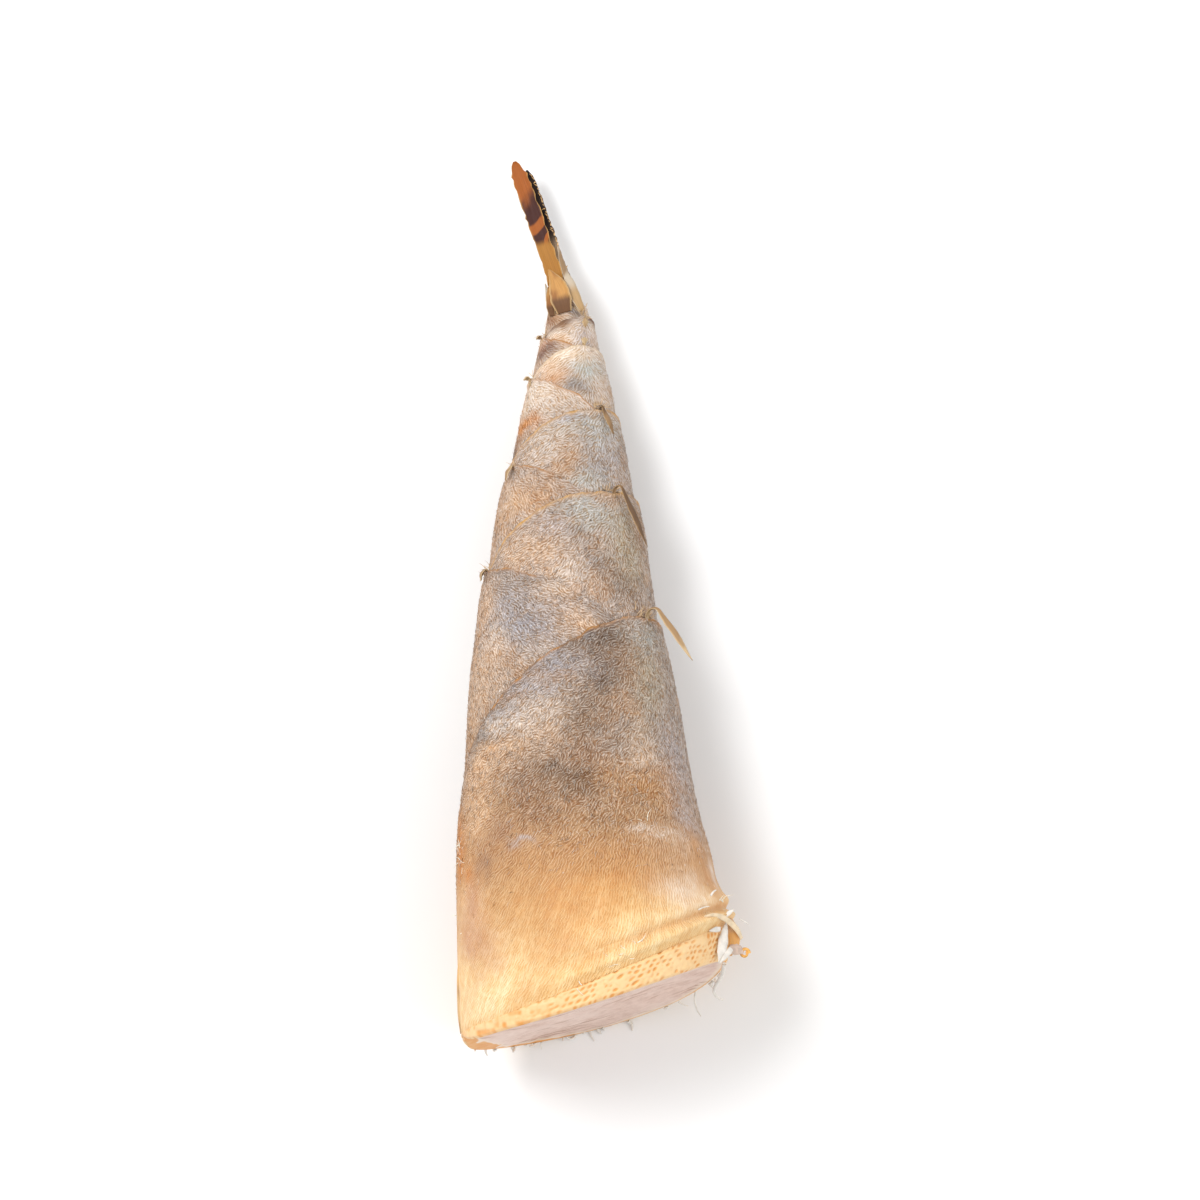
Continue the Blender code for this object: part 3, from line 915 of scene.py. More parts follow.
def hairs_of(sheet, per_mm2):
    """The hairs of one sheath, along its veins where it shows: roots, ways, normals and tints."""
    points = sheet["points"]
    along = points[1:, :-1] - points[:-1, :-1]
    round_ = points[:-1, 1:] - points[:-1, :-1]
    normal = np.cross(along, round_)
    area = np.linalg.norm(normal, axis=2)
    normal = normal / np.maximum(area, 1e-9)[..., None]
    off_floor = points[:-1, :-1, 2] > 1.0
    weight = area * sheet["felt"][:-1, :-1] ** 2 * ~sheet["covered"][:-1, :-1] * off_floor
    weight = weight * (sheet["from_top"][:-1, :-1] > 1.0)
    count = int(weight.sum() * per_mm2)
    if not count:
        return None
    chosen = rng.choice(weight.size, count, p=weight.ravel() / weight.sum())
    i, j = np.unravel_index(chosen, weight.shape)
    u, v = rng.random((2, count, 1))
    roots = points[i, j] + along[i, j] * u + round_[i, j] * v
    upward, outward = unit(along[i, j]), normal[i, j]
    sheath, station = sheet["sheath"], sheet["station"][i, j]
    turning = vein_spread(sheath, station + 1.0) - vein_spread(sheath, station)
    lean = -np.radians(sheet["veins"][i, j] * turning) * full_width(station)
    ways = unit(upward + np.cross(upward, outward) * lean[:, None])
    turn = rng.normal(0.0, 0.7, count)[:, None]
    rise = np.abs(rng.normal(0.08, 0.08, count))[:, None]
    ways = ways * np.cos(turn) + np.cross(outward, ways) * np.sin(turn)
    ways = ways * np.cos(rise) + outward * np.sin(rise)
    return roots - outward * 0.05, ways, outward, sheet["tint"][i, j]


def grow_hairs(sheets, kinds, per_mm2):
    """Felt: hairs over every sheath's visible part, in one piece a kind."""
    found = {kind[0]: [] for kind in kinds}
    for sheet in sheets:
        hairs = hairs_of(sheet, per_mm2)
        if hairs is None:
            continue
        pick = rng.random(len(hairs[0]))
        low = 0.0
        for kind, share, *_ in kinds:
            taken = (pick >= low) & (pick < low + share)
            found[kind].append([part[taken] for part in hairs])
            low += share
    looks = hair_material()
    for kind, share, colour, own, lengths, width in kinds:
        roots, ways, normals, tints = (np.concatenate(part) for part in zip(*found[kind]))
        long = rng.uniform(*lengths, len(roots))
        colours = mix(tints, colour, own) * rng.uniform(0.85, 1.15, (len(roots), 1))
        hair_mesh(kind, roots, ways, normals, long, width, colours, looks)


# ---------------------------------------------------------------- fibres
def through(points, steps):
    """A smooth curve through points, with steps points for each stretch between two."""
    points = np.asarray(points, float)
    ends = np.vstack([2 * points[0] - points[1], points, 2 * points[-1] - points[-2]])
    t = np.linspace(0.0, 1.0, steps, endpoint=False)[:, None]
    curve = []
    for a, b, c, d in zip(ends, ends[1:], ends[2:], ends[3:]):
        bend = (2 * a - 5 * b + 4 * c - d) * t**2 + (3 * b - a - 3 * c + d) * t**3
        curve.append(b + 0.5 * ((c - a) * t + bend))
    return np.vstack(curve + [points[-1:]])


TUBE_SIDES = 5


def tubes(name, paths, radii, material, taper=0.75):
    """Closed tubes along paths, thinner towards their far ends."""
    all_points, all_faces, start = [], [], 0
    turn = np.arange(TUBE_SIDES) * 2 * np.pi / TUBE_SIDES
    for path, radius in zip(paths, radii):
        path = np.maximum(path, [-np.inf, -np.inf, radius])
        along = unit(np.gradient(path, axis=0))
        side = unit(np.cross(along, [0.31, 0.17, 0.94]))
        up = np.cross(side, along)
        thin = radius * (1.0 - taper * np.linspace(0.0, 1.0, len(path)) ** 1.5)[:, None, None]
        ring = side[:, None] * np.cos(turn)[None, :, None] + up[:, None] * np.sin(turn)[None, :, None]
        all_points.append((path[:, None] + ring * thin).reshape(-1, 3))
        all_faces.append(grid_faces(len(path), TUBE_SIDES, start, closed=True)[:, ::-1])
        first = start + np.arange(TUBE_SIDES)
        last = first + TUBE_SIDES * (len(path) - 1)
        all_faces += [first[None], last[None, ::-1]]
        start += TUBE_SIDES * len(path)
    mesh_object(name, np.vstack(all_points), all_faces, material)


def ribbon(path, side, widths, across, thickness, curl):
    """A closed thin strip along a path: points and faces. side is a way across it."""
    along = unit(np.gradient(path, axis=0))
    sides = unit(side - along * (side * along).sum(axis=1, keepdims=True))
    face = np.cross(along, sides)
    half = 0.5 * widths[:, None]
    top = path[:, None] + sides[:, None] * (half * across)[..., None]
    top = top + face[:, None] * (half * curl * (across**2 - 0.3))[..., None]
    bottom = top - face[:, None] * thickness * (1.0 - 0.7 * np.abs(across))[None, :, None]
    return shell(bottom, top, np.arange(len(path)))


def on_rim(angles, inward):
    """Points of the cut rim, moved inward over the cut face by a share of the radius."""
    rim = culm_row(CUT_STATION, angles, 1.0)
    middle = culm_row(CUT_STATION, np.arange(0.0, 360.0, 10.0), 1.0).mean(axis=0)
    return rim + (middle - rim) * inward


def standing(station, angle, height):
    """Points at a height over the outermost sheath as it was made, with its swells."""
    base = surface(station, angle, 0.0)
    return surface(station, angle, -large_relief(base) - height)


# ---------------------------------------------------------------- culm
BAND_ROWS = 34
BAND_RADIUS = 38.0
PIT_WIDE, PIT_TALL = 2.3, 1.5  # the spacing of the root band's pits, round it and along it
STEM_GAP = 1.4  # how far the stem stands off the innermost sheath there
STEM_TOP = 170.0, 214.0  # the stations between which the stem thins to its tip
# The cut face's rings, as shares of its radius.
RINGS = np.array([0.04, 0.12, 0.22, 0.33, 0.44, 0.55, 0.65, 0.74, 0.82, 0.88, 0.93, 0.965, 0.988])


def culm_row(station, angle, share):
    """One row of the root band. share is 1 at the cut and 0 where the sheath begins."""
    turn = np.radians(angle)
    row = surface(station, angle, 0.25)
    across = row[..., 0] - SHIFT_X - along_outline(CUT_STATION, 1)
    lean = CUT_LEAN * np.maximum(-np.sin(turn), 0.0) * (1.0 + 0.5 * np.cos(turn))
    row[..., 1] -= ((SLANT - CUT_SLANT) * across + lean) * share
    row[..., 1] += 2.6 * bell(angle - 178.0, 15.0) * share**2
    return row


def root_band(rows, angles):
    """How far each point of the root band stands up: 1 between its pits and 0 in them."""
    walk = np.radians(angles)[None] * BAND_RADIUS + 1.2 * noise(rows / 4.0, 82)
    up = rows[..., 1] - rows[:1, :, 1]
    course = up / PIT_TALL + 0.55 * noise(rows / 6.0, 83) + 0.2 * noise(rows / 2.0, 87)
    stagger = (np.floor(course) % 2) * 0.5
    down = course % 1.0 - 0.5
    sideways = (walk / PIT_WIDE + stagger) % 1.0 - 0.5 + 0.45 * down
    pit = np.exp(-((sideways / 0.33) ** 2) - (down / 0.34) ** 2)
    pit = pit * np.clip(0.9 + 1.3 * noise(rows / 2.2, 84), 0.0, 1.2)
    fade = smooth((np.cos(np.radians(angles)) + 0.75) / 1.0)[None]
    crumbled = 0.5 + 0.7 * noise(rows / 1.6, 85)
    return 1.0 - np.clip(pit * fade + crumbled * (1.0 - fade) * 0.7, 0.0, 1.0)


def stem_rows(angles, band_end):
    """Rows of the stem inside the sheaths: a step at each sheath's foot, then its tip."""
    stem = []
    for number, sheath in enumerate(SHEATHS):
        for station, depth in ((sheath.foot - 1.0, number), (sheath.foot + 1.5, number + 1)):
            if station > band_end:
                stem.append(surface(station, angles, depth * PITCH + STEM_GAP))
    for station, thinner in zip(np.linspace(*STEM_TOP, 8), np.linspace(0.0, 3.0, 8)):
        stem.append(surface(station, angles, len(SHEATHS) * PITCH + 0.75 + thinner))
    return np.array(stem)


def build_culm(material):
    """The cut face, the root band with its rows of bumps, and the stem inside the sheaths."""
    angles = np.arange(0.0, 360.0, 0.5)
    columns = len(angles)
    foot = SHEATHS[0].foot
    band_end = foot + 2.0
    share = np.linspace(0.0, 1.0, BAND_ROWS)
    stations = CUT_STATION + share * (band_end - CUT_STATION)
    rows = np.array([culm_row(s, angles, 1.0 - t) for s, t in zip(stations, share)])
    middle = rows.mean(axis=1, keepdims=True)
    out = rows - middle
    out[..., 1] = 0.0
    out = unit(out)
    bump = root_band(rows, angles)
    near_rim = smooth((rows[..., 1] - rows[:1, :, 1]) / 0.9)
    height = large_relief(rows) + 0.4 * (bump - 0.4) * near_rim
    height = height + 0.12 * noise(rows / 1.1, 80) - 0.6 * (1.0 - near_rim) ** 2
    under = smooth((stations - CUT_STATION - (foot - CUT_STATION) * 0.93) / 1.6)[:, None]
    height = height - 0.9 * under
    skin = rows + out * height[..., None]
    rim = skin[0]
    centre = rim.mean(axis=0)
    rings = centre + (rim - centre) * RINGS[:, None, None]
    inner = np.minimum((1.0 - RINGS) * 14.0, 1.0)[:, None]
    rough = 0.22 * noise(rings / 2.2, 90) + 0.6 * noise(rings / 15.0, 91)
    rings[..., 1] += (rough + 0.45) * inner
    stem = stem_rows(angles, band_end)
    grid = np.concatenate([rings, skin, stem])
    tip = grid[-1].mean(axis=0)
    points = np.concatenate([grid.reshape(-1, 3), [centre + (0.0, 0.45, 0.0)], [tip]])
    points[:, 2] = np.maximum(points[:, 2], 0.0)
    total = len(grid) * columns
    j = np.arange(columns)
    k = (j + 1) % columns
    last = total - columns
    faces = [
        grid_faces(len(grid), columns, closed=True),
        np.stack([np.full(columns, total), j, k], axis=1),
        np.stack([np.full(columns, total + 1), last + k, last + j], axis=1),
    ]
    rind = 0.13 * bell(angles - 200.0, 18.0) + 0.03 * bell(angles - 225.0, 30.0)
    rind = rind[None] * (1.0 + 0.7 * noise(rings / 3.0, 92))
    ring = (RINGS[:, None] + rind).ravel()
    ring = np.concatenate([ring, np.ones(skin.size // 3 + len(stem) * columns)])
    bumps = np.concatenate([np.zeros((len(RINGS), columns)), bump, np.ones((len(stem), columns))])
    attributes = {
        "ring": np.concatenate([ring, [0.0, 1.0]]),
        "bump": np.concatenate([bumps.ravel(), [0.0, 0.0]]),
    }
    piece = mesh_object("culm_flesh", points, faces, material, attributes)
    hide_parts("culm")


def culm_material():
    """Pale pinkish flesh on the cut face, and golden bumps on the root band."""
    n = Nodes("flesh_looks")
    where = n.place()
    ring = n.attribute("ring", "Fac")
    bumps = n.attribute("bump", "Fac")
    skin = n.ramp(ring, 0.975, 0.999)
    grain = n.noise(where, 380.0, 5.0, 0.65)
    broad = n.noise(where, 60.0, 3.0)
    face = n.blend(n.ramp(grain, 0.3, 0.75), paint(226, 198, 184), paint(204, 172, 156))
    face = n.blend(n.ramp(broad, 0.4, 0.65, 0.0, 0.6), face, paint(234, 212, 200))
    lines = n.noise(n.scaled(where, (50.0, 50.0, 620.0)), 1.0, 3.0, 0.6, 0.5)
    face = n.blend(n.ramp(lines, 0.58, 0.66, 0.0, 0.8), face, paint(164, 116, 86))
    rim = n.ramp(ring, 0.93, 0.985, 0.0, 0.7)
    face = n.blend(rim, face, paint(238, 222, 200))
    gold = n.blend(n.ramp(bumps, 0.2, 0.85), paint(220, 150, 74), paint(234, 196, 142))
    gold = n.blend(n.ramp(broad, 0.45, 0.62, 0.0, 0.3), gold, paint(246, 216, 166))
    gold = n.blend(n.ramp(grain, 0.5, 0.72, 0.0, 0.4), gold, paint(220, 154, 84))
    colour, height = n.blend(skin, face, gold), n.blend(0.5, grain, lines)
    return n.finish(colour, 0.5, height=height, distance=0.4 * MM, strength=0.8)


# ---------------------------------------------------------------- blades
BLADE_STEPS, BLADE_ACROSS = 34, 11
BLADE_THICK = 0.25


def blade_path(layer):
    """The blade's middle line, with its ways across and out, and its share of the length."""
    sheath, blade = SHEATHS[layer], SHEATHS[layer].blade
    depth = layer * PITCH + (PITCH - EDGE_STEP)
    at = surface(sheath.top, sheath.angle, depth)
    up = unit(at - surface(sheath.top - 3.0, sheath.angle, depth))
    across = surface(sheath.top, sheath.angle + 2.0, depth) - at
    across = unit(across - up * (across @ up))
    out = unit(np.cross(up, across))
    shares = np.linspace(0.0, 1.0, BLADE_STEPS + 1)
    line, outs, here = [at - up * 2.0], [out], at.copy()
    for before, share in zip(shares, shares[1:]):
        turn = math.radians(blade.turn) * min(0.5 * (before + share) / blade.fold, 1.0)
        way = up * math.cos(turn) + out * math.sin(turn) + across * blade.lean
        line.append(here)
        outs.append(out * math.cos(turn) - up * math.sin(turn))
        here = here + way * blade.length * (share - before)
    line.append(here)
    outs.append(outs[-1])
    shares = np.concatenate([[0.0], shares])
    return np.array(line), np.tile(across, (len(line), 1)), np.array(outs), shares


def leaf_attributes(shares, across):
    """What the leaf materials read: the shares of the length and the width, for both faces."""
    grids = np.broadcast_arrays(shares[:, None], across)
    return {key: np.tile(grid.ravel(), 2) for key, grid in zip(("length", "across"), grids)}


def build_blade(
    layer, material, profile, fold, twist=0.0, wave=0.3, drift=(0.0, 0.0, 0.0), width=None,
    path=None, size=1.0, shift=(0.0, 0.0, 0.0),
):
    """A blade as a closed thin leaf. profile gives its half width, of 1, along its length.

    It drifts sideways by so many mm at its tip, path names another sheath whose path it takes, and
    shift moves the whole leaf, in mm. It returns the grid of its upper face.
    """
    blade = SHEATHS[layer].blade
    line, ways, outs, shares = blade_path(layer if path is None else path)
    line = line[0] + (line - line[0]) * size + np.array(drift) * shares[:, None]
    across = np.linspace(-1.0, 1.0, BLADE_ACROSS)
    half = 0.5 * (width or blade.width) * np.interp(shares, *zip(*profile))
    half = half * (1.0 + 0.05 * noise(np.stack([shares * 9, ways[:, 0], ways[:, 1]], 1), layer))
    frayed = shares[:, None] * blade.length / 1.1, across * 3.0, layer * 5.0
    frayed = np.stack(np.broadcast_arrays(*frayed), -1)
    ragged = 0.14 * noise(frayed, 97) * across**6
    turn = twist * shares
    side = ways * np.cos(turn)[:, None] + outs * np.sin(turn)[:, None]
    face = outs * np.cos(turn)[:, None] - ways * np.sin(turn)[:, None]
    line = line + face * (wave * np.sin(shares * 8.0) * shares)[:, None]
    curl = fold * (np.abs(across) ** 1.5 - 0.4)
    top = line[:, None] + side[:, None] * (half[:, None] * across * (1.0 + ragged))[..., None]
    top = top + face[:, None] * (half[:, None] * curl)[..., None]
    top[..., 2] = np.maximum(top[..., 2], BLADE_THICK + 0.05)
    bottom = top - face[:, None] * (BLADE_THICK * (1.1 - 0.8 * np.abs(across)))[None, :, None]
    points, faces = shell(top + shift, bottom + shift, np.arange(len(line)))
    attributes = leaf_attributes(shares, across)
    mesh_object(f"blade_{layer + 1:02d}", points, faces, material, attributes)
    return top + shift


def blade_material(name, low, high, rim, base=None, banded=False, rim_from=0.75):
    """A dry leaf: two colours in patches or bands, fibres along it, a rim and a base of its own."""
    n = Nodes(name)
    where = n.place()
    length = n.attribute("length", "Fac")
    across = n.attribute("across", "Fac")
    patch = n.noise(n.scaled(where, (160.0, 70.0, 160.0)), 1.0, 2.0, 0.5, 0.4)
    if banded:
        place = n.maths("ADD", length, n.ramp(patch, 0.3, 0.7, -0.07, 0.07))
        place = n.maths("ADD", place, n.ramp(across, -1.0, 1.0, -0.03, 0.03))
        lower = n.times(n.ramp(place, 0.27, 0.30), n.ramp(place, 0.46, 0.40))
        upper = n.times(n.ramp(place, 0.5, 0.56), n.ramp(place, 0.84, 0.58))
        patch = n.ramp(n.maths("ADD", lower, upper), 0.0, 1.0, 0.44, 0.58)
    joined = n.add("ShaderNodeCombineXYZ", X=n.times(across, 9.0), Y=n.times(length, 2.2))
    fibre = n.noise(joined.outputs[0], 1.0, 4.0, 0.6)
    colour = n.blend(n.ramp(patch, 0.44, 0.58), paint(*low), paint(*high))
    if base is not None:
        low_end = (0.34, 0.27) if banded else (0.45, 0.28)
        colour = n.blend(n.ramp(length, *low_end), colour, paint(*base))
    colour = n.blend(n.ramp(fibre, 0.4, 0.65, 0.0, 0.4), colour, n.scaled_by(colour, 0.62))
    edge = n.ramp(n.maths("ABSOLUTE", across), rim_from, 1.0, 0.0, 0.8)
    colour = n.blend(edge, colour, paint(*rim))
    return n.finish(colour, 0.5, 0.25, fibre, 0.25 * MM, 0.8)


# ---------------------------------------------------------------- building
leaf_looks = sheath_material()
sheets = [build_sheath(layer, leaf_looks) for layer in range(len(SHEATHS))]
build_culm(culm_material())

straw = blade_material("straw_blade_looks", (200, 172, 132), (166, 132, 94), (222, 198, 158))
dusk_straw = blade_material("dusk_straw_looks", (150, 118, 84), (104, 78, 56), (190, 156, 108))
amber = blade_material(
    "amber_blade_looks", (160, 86, 28), (66, 28, 20), (214, 164, 96), (170, 116, 48),
    banded=True, rim_from=0.86,
)
dusk = blade_material(
    "dusk_blade_looks", (50, 36, 30), (34, 25, 23), (116, 80, 54), (168, 146, 120)
)
# Profiles of blades: pairs of a share of the length and the half width there, of 1.
LEAF = ((0.0, 0.5), (0.12, 0.34), (0.3, 0.6), (0.5, 1.0), (0.72, 0.72), (1.0, 0.04))
STRAP = ((0.0, 1.0), (0.12, 0.86), (0.88, 0.9), (0.95, 0.6), (1.0, 0.16))
# By layer: how far a blade drifts at its tip, its width in mm, and its length over the CAD's.
DRIFTS = {0: (1.6, -2.6, -2.0), 2: (4.4, -3.0, -6.0), 4: (2.6, 2.0, -4.0)}
WIDTHS = {2: 2.2, 4: 1.8}
SHORTER = {1: 0.6, 3: 0.55, 4: 0.6, 5: 0.8, 7: 0.8, 8: 0.35, 9: 0.5}
for layer in range(AMBER_LAYER):
    looks = dusk_straw if layer in (2, 4) else straw
    build_blade(
        layer, looks, LEAF, fold=0.5, twist=0.5, wave=0.4, drift=DRIFTS.get(layer, (0.0, 0.0, 0.0)),
        width=WIDTHS.get(layer), size=SHORTER.get(layer, 1.0),
    )
build_blade(AMBER_LAYER, amber, STRAP, fold=0.18, drift=(7.4, 4.8, 0.0))
dark_blade = build_blade(
    DARK_LAYER, dusk, STRAP, fold=0.2, twist=0.3, drift=(7.6, 3.6, -0.6), width=3.4,
    path=AMBER_LAYER, shift=(3.4, -1.0, -1.4),
)
fringe_rows = dark_blade[4:-2]


# ---------------------------------------------------------------- torn edges and loose fibres
STRIP_STEPS, STRIP_ACROSS = 7, 5
FIBRE_BENDS = 6


def torn(number, name, side, widths, material, points, curl=-0.15, thickness=0.3):
    """A torn strip through points in mm, with its widths there and the way across it.

    number sets its wobble.
    """
    path = through(points, STRIP_STEPS)
    t = np.linspace(0.0, len(widths) - 1.0, len(path))
    wide = np.interp(t, np.arange(len(widths)), widths)
    wobble = np.stack([t * 2.3, t * 0.0 + number, t * 0.0], axis=-1)
    wide = wide * (1.0 + 0.07 * noise(wobble, 95))
    across = np.linspace(-1.0, 1.0, STRIP_ACROSS)
    points, faces = ribbon(path, np.array(side), wide, across, thickness, curl)
    read = leaf_attributes(np.linspace(0.0, 1.0, len(path)), across)
    return mesh_object(name, points, faces, material, read)


def fibre_paths(roots, ways, lengths, droop=0.0):
    """Curly paths that start at roots along ways."""
    paths = []
    for root, way, length in zip(roots, ways, lengths):
        line, here, way = [root], np.array(root, float), np.array(way, float)
        bend = rng.normal(0.0, 0.35, 3)
        for _ in range(FIBRE_BENDS):
            way = unit(way + bend * 0.6 + rng.normal(0.0, 0.12, 3) - [0.0, 0.0, droop])
            here = here + way * length / FIBRE_BENDS
            line.append(here)
        paths.append(through(line, 2))
    return paths


def tufts(name, places, colour, radius, lengths, upright):
    """Clusters of loose fibres. A place is a station, an angle, how many, and how far spread."""
    paths = []
    for station, angle, count, spread in places:
        stations = station + rng.normal(0.0, spread, count)
        angles = angle + rng.normal(0.0, spread, count) * 2.0
        heights = -visible_depth(stations) - 0.05
        roots = standing(stations, angles, heights)
        out = unit(standing(stations, angles, heights + 1.0) - roots)
        up = unit(standing(stations + 1.0, angles, heights) - roots)
        ways = up * rng.normal(0.5, 0.7, (count, 1))
        ways = ways + np.cross(up, out) * rng.normal(0.0, 0.9, (count, 1))
        ways = unit(ways) + out * upright
        paths += fibre_paths(roots, unit(ways), rng.uniform(*lengths, count), droop=0.06)
    radii = radius * rng.uniform(0.7, 1.4, len(paths))
    tubes(name, paths, radii, plain_material(f"{name}_looks", colour, 0.5))


white = plain_material("torn_white_looks", (226, 220, 211), 0.6, 0.1, 500.0)
beige = plain_material("torn_band_looks", (228, 206, 172), 0.5, 0.1, 600.0)
pink = plain_material("torn_pad_looks", (206, 182, 166), 0.6, 0.16, 700.0)
flap = blade_material(
    "torn_flap_looks", (228, 170, 100), (206, 142, 78), (238, 212, 176), (222, 180, 140)
)
rind = blade_material(
    "torn_rind_looks", (216, 176, 122), (186, 142, 92), (236, 210, 170), (226, 178, 116)
)
petal = blade_material(
    "tip_petal_looks", (196, 144, 82), (156, 104, 58), (224, 188, 136), (112, 78, 52)
)
paper_grey = blade_material(
    "tip_paper_looks", (206, 190, 168), (160, 130, 98), (222, 206, 182), (190, 156, 112)
)
right_path = [(37.8, -97.2, 45.5), (38.6, -99.8, 46.0), (39.0, -102.6, 45.6), (38.8, -105.4, 45.0)]
right_path += [(37.6, -108.0, 44.0)]
right_flap = torn(
    1, "torn_flap_right", (0.85, 0.0, -0.5), [1.2, 3.8, 4.8, 4.0, 1.4], flap, right_path,
    curl=-0.35, thickness=0.8,
)
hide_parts("stub_right")
left_stations = np.array([36.0, 32.0, 28.0, 24.0, 19.5])
left_path = standing(left_stations, np.full(5, 174.0), np.array([0.0, 0.45, 0.6, 0.55, 0.1]))
left_rind = torn(
    2, "torn_rind_left", (0.1, 0.0, 1.0), [1.0, 4.0, 5.0, 4.6, 1.6], rind, left_path,
    curl=-0.3, thickness=1.2,
)
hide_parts("stub_left")

# The other strips: a name, the way across, widths along it, the looks and the middle line.
STRIPS = (
    ("torn_strip_long", (0.8, 0.0, -0.5), [0.3, 2.2, 3.2, 2.6, 0.4], white,
     [(36.6, -98.6, 49.4), (36.1, -101.6, 50.8), (35.6, -104.8, 51.8), (35.0, -108.0, 52.6),
      (34.3, -111.0, 53.0)]),
    ("torn_strip_short", (0.72, -0.55, -0.35), [1.7, 1.7, 1.3, 0.4], white,
     [(38.0, -106.4, 49.8), (37.0, -107.8, 51.2), (35.8, -109.4, 52.6), (34.6, -110.9, 53.4)]),
    ("torn_strip_upper", (0.1, 0.95, 0.1), [1.2, 1.7, 0.4], white,
     [(34.6, -101.2, 53.4), (33.2, -101.5, 55.2), (31.4, -102.1, 57.2)]),
    ("torn_strip_hook", (0.6, -0.8, 0.0), [1.0, 1.3, 0.3], white,
     [(36.2, -97.3, 50.4), (37.4, -96.1, 50.0), (38.6, -95.2, 49.4)]),
    ("torn_band", (0.35, 0.9, 0.2), [0.5, 1.1, 1.6, 1.7, 1.5, 1.0], beige,
     [(30.1, -98.2, 60.0), (32.8, -97.6, 57.6), (35.4, -98.0, 54.4), (37.8, -99.2, 50.6),
      (39.8, -101.0, 47.6), (41.1, -103.2, 45.0)]),
    ("torn_pad", (0.1, 1.0, 0.0), [2.6, 3.4, 3.0, 1.2], pink,
     [(37.6, -106.4, 46.0), (39.0, -106.2, 45.4), (40.4, -106.4, 44.6), (41.6, -107.0, 43.8)]),
    ("tip_paper_right", (0.9, 0.3, -0.3), [1.6, 3.0, 2.6, 1.8, 1.2, 0.4], paper_grey,
     [(-5.2, 88.2, 17.0), (-6.9, 91.3, 18.0), (-8.6, 95.8, 18.0), (-10.4, 99.2, 18.8), (-11.8, 103.7, 20.0),
      (-12.6, 106.9, 21.0)]),
    ("tip_petal", (0.93, 0.3, 0.1), [4.6, 6.0, 6.2, 4.4, 0.5], petal,
     [(-10.6, 87.4, 18.0), (-11.4, 90.2, 18.8), (-12.2, 93.6, 19.0), (-13.2, 96.6, 19.0),
      (-15.4, 100.4, 18.6)]),
    ("tip_petal_left", (0.9, 0.2, 0.3), [2.0, 2.6, 1.8, 0.4], petal,
     [(-14.2, 86.6, 16.6), (-14.8, 89.4, 17.4), (-15.2, 92.2, 17.8), (-15.4, 95.2, 18.0)]),
    ("tip_paper_left", (1.0, 0.2, 0.3), [0.8, 1.5, 1.1, 0.3], paper_grey,
     [(-15.0, 88.4, 15.8), (-15.5, 91.4, 16.8), (-15.8, 94.0, 17.4), (-16.4, 96.2, 18.0)]),
)
for number, strip in enumerate(STRIPS, 3):
    torn(number, *strip)

# Shreds on the lower rim of the cut: short ones at random and a few long ones listed.
SHORT_SHREDS = 26
LONG_SHREDS = ((262.0, 4.6), (268.0, 3.8), (285.0, 3.8), (310.0, 3.4), (246.0, 3.0))
long_angles, long_lengths = zip(*LONG_SHREDS)
rim_angles = np.concatenate([rng.uniform(205.0, 352.0, SHORT_SHREDS), long_angles])
rim_roots = on_rim(rim_angles, 0.004)
rim_ways = unit(rim_roots - on_rim(rim_angles, 0.5)) * 0.5 + [0.0, -0.9, 0.1]
rim_ways = unit(rim_ways + rng.normal(0.0, 0.35, rim_ways.shape))
rim_lengths = np.concatenate([rng.uniform(1.0, 2.6, SHORT_SHREDS), long_lengths])
rim_paths = fibre_paths(rim_roots, rim_ways, rim_lengths)
tubes("rim_shreds", rim_paths, rng.uniform(0.25, 0.6, len(rim_paths)), white, taper=0.6)

# Loose fibres at the cut: a radius and the points each goes through.
LOOSE = (
    (0.62, (36.0, -110.4, 45.0), (35.2, -113.4, 39.0), (33.8, -115.4, 34.0), (33.2, -117.2, 30.0),
     (34.3, -118.7, 28.0), (35.8, -119.3, 27.0)),
    (0.32, (28.4, -114.0, 12.0), (27.9, -117.5, 9.0), (28.6, -120.2, 7.0), (29.8, -122.2, 6.0)),
    (0.22, (28.2, -96.4, 61.0), (29.8, -95.6, 60.0), (31.4, -95.2, 58.8)),
    (0.34, (31.8, -92.2, 59.6), (32.6, -91.0, 59.0), (33.4, -90.4, 58.2)),
    (0.2, (40.4, -97.6, 46.0), (42.2, -98.4, 45.0), (43.0, -99.0, 44.4)),
)
loose_paths = [through(points, 6) for _, *points in LOOSE]
tubes("torn_fibres", loose_paths, [row[0] for row in LOOSE], white, taper=0.5)

# The dark blade's fringe: two rows of fibres on its right edge and one near its left edge.
right_edge, left_edge = fringe_rows[:, -1], fringe_rows[:, 1]
fringe_roots = np.concatenate([right_edge, right_edge + (0.0, 0.45, 0.0), left_edge])
fringe_ways = np.tile([0.8, 0.6, 0.4], (len(fringe_roots), 1)) + rng.normal(0.0, 0.2, fringe_roots.shape)
fringe_ways[-len(fringe_rows) :, 0] *= -0.4
tubes(
    "blade_fringe",
    fibre_paths(fringe_roots, unit(fringe_ways), rng.uniform(0.7, 1.5, len(fringe_roots))),
    rng.uniform(0.14, 0.24, len(fringe_roots)),
    plain_material("blade_fringe_looks", (214, 172, 116), 0.5),
)
ring_turn = np.linspace(0.0, 2.3 * np.pi, 26)[:, None]
ring_radius = 1.35 - 0.1 * ring_turn
curl_path = np.array([41.9, -107.2, 43.4]) + ring_radius * (
    np.cos(ring_turn) * [1.0, 0.0, 0.2] + np.sin(ring_turn) * [0.0, 1.0, 0.3]
)
curl_looks = plain_material("torn_curl_looks", (224, 168, 88), 0.45)
tubes("torn_curl", [curl_path], [0.52], curl_looks, taper=0.3)

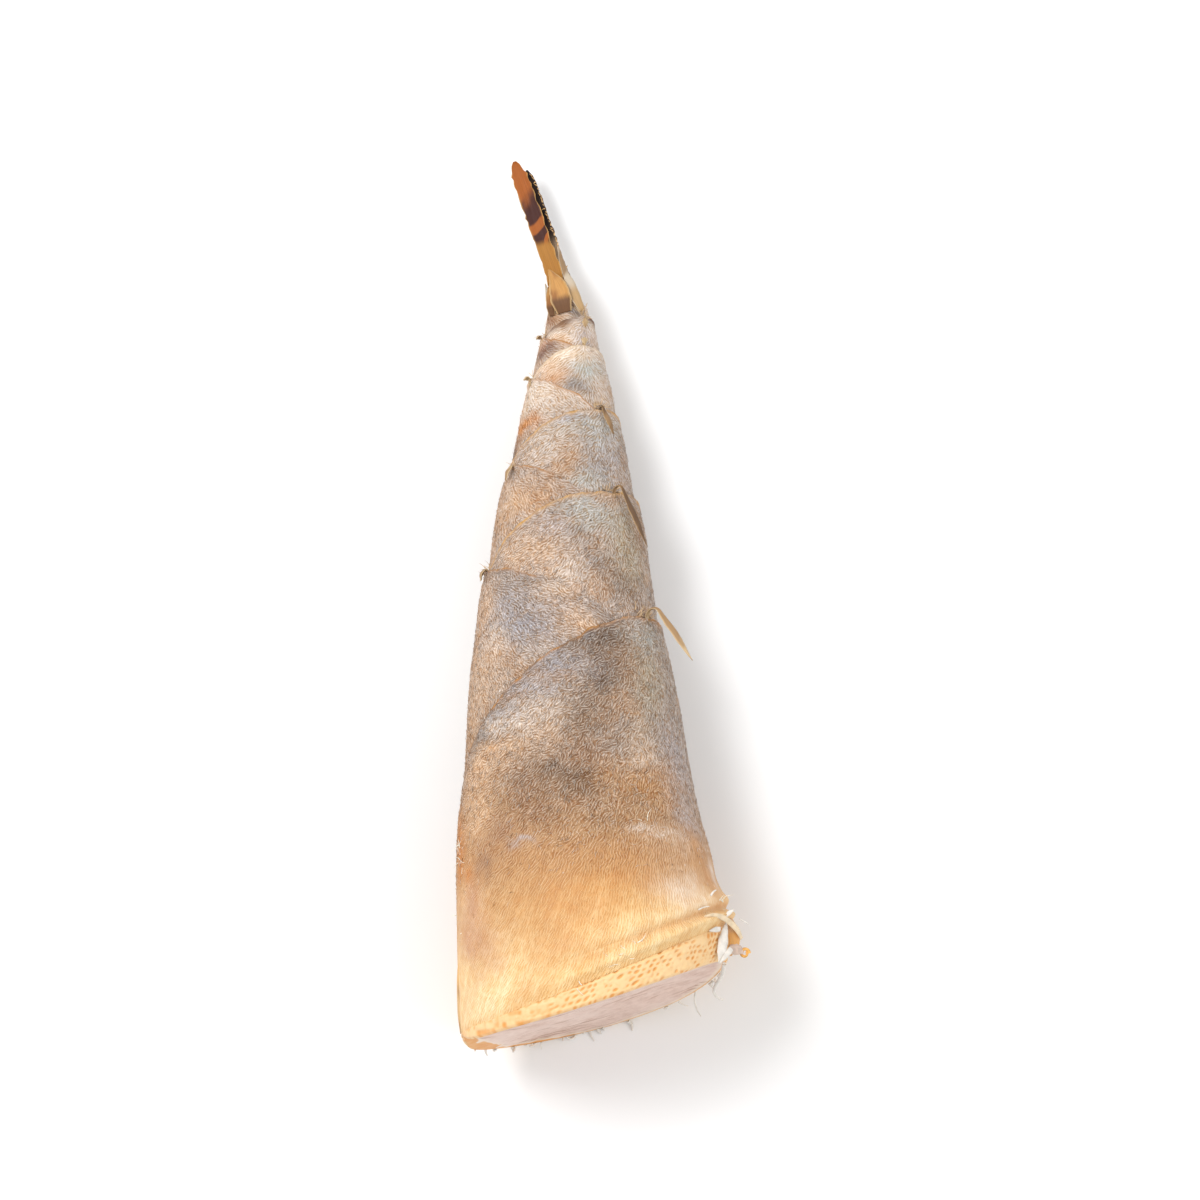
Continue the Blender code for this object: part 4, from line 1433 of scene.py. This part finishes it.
tufts(
    "foot_fibres",
    [(23.0, 75.0, 9, 1.2), (21.5, 84.0, 5, 1.0), (20.0, 98.0, 3, 1.0), (55.0, 163.0, 8, 2.5),
     (44.0, 170.0, 6, 2.0), (63.0, 57.0, 2, 0.6), (59.0, 166.0, 4, 1.0), (27.0, 20.0, 5, 1.5)],
    (240, 230, 214), 0.13, (2.0, 4.6), 0.45,
)
tufts(
    "ligule_fibres",
    [(SHEATHS[k].top + 0.6, SHEATHS[k].angle + off, 7, 0.7) for k in (0, 2, 4, 8) for off in (-6.0, 6.0)]
    + [(SHEATHS[k].top, SHEATHS[k].angle, 9, 0.9) for k in (1, 3, 5, 7)],
    (206, 176, 138), 0.12, (1.8, 4.2), 0.7,
)

# Each kind: its share, its colour and how far it keeps that over the sheath's own, then its
# lengths and its width in mm.
HAIRS = (
    ("hair_pale", 0.42, srgb(244, 236, 228), 0.42, (1.4, 2.8), 0.16),
    ("hair_tan", 0.28, srgb(186, 140, 98), 0.5, (1.3, 2.8), 0.15),
    ("hair_brown", 0.3, srgb(96, 66, 44), 0.5, (1.2, 2.4), 0.14),
)
HAIRS_PER_MM2 = 1.2
grow_hairs(sheets, HAIRS, HAIRS_PER_MM2)

# ---------------------------------------------------------------- floor, lights and camera
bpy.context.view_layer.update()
centre = (cad_low + cad_high) / 2

FLOOR_SIZE, FLOOR_GAP = 6.0, 0.0002  # in metres, as are the lights' and the camera's places
SKY_STRENGTH = 0.7
bpy.ops.mesh.primitive_plane_add(size=FLOOR_SIZE, location=(0.0, 0.0, -FLOOR_GAP))
floor = bpy.context.object
floor.name = "floor"
floor.data.materials.append(Nodes("floor_looks").finish((0.9, 0.9, 0.9, 1.0), 0.8))

world = bpy.data.worlds.new("studio")
bpy.context.scene.world = world
world.use_nodes = True
sky = world.node_tree.nodes["Background"].inputs
sky["Color"].default_value = (1.0, 1.0, 1.0, 1.0)
sky["Strength"].default_value = SKY_STRENGTH


def area_light(name, location, size, power):
    """A square light that faces the shoot."""
    data = bpy.data.lights.new(name, "AREA")
    data.shape, data.size, data.energy = "SQUARE", size, power
    light = bpy.data.objects.new(name, data)
    light.location = location
    light.rotation_euler = (centre - Vector(location)).to_track_quat("-Z", "Y").to_euler()
    bpy.context.scene.collection.objects.link(light)


area_light("key", (-0.55, 0.25, 1.0), 0.5, 9.0)
area_light("fill", (0.8, -0.3, 0.9), 0.9, 4.6)

ELEVATION = math.radians(81.0)
LENS, SENSOR = 180.0, 36.0
SPAN = 0.3535  # the frame's width at the shoot
AIM = (0.0, -0.0015, 0.03)

camera_data = bpy.data.cameras.new("camera")
camera_data.lens = LENS
camera_data.sensor_width = SENSOR
camera = bpy.data.objects.new("camera", camera_data)
target = Vector(AIM)
back = Vector((0.0, -math.cos(ELEVATION), math.sin(ELEVATION)))
camera.location = target + back * (SPAN * LENS / SENSOR)
camera.rotation_mode = "QUATERNION"
camera.rotation_quaternion = (-back).to_track_quat("-Z", "Y")
bpy.context.scene.collection.objects.link(camera)
bpy.context.scene.camera = camera
bpy.context.scene.view_settings.view_transform = "Standard"
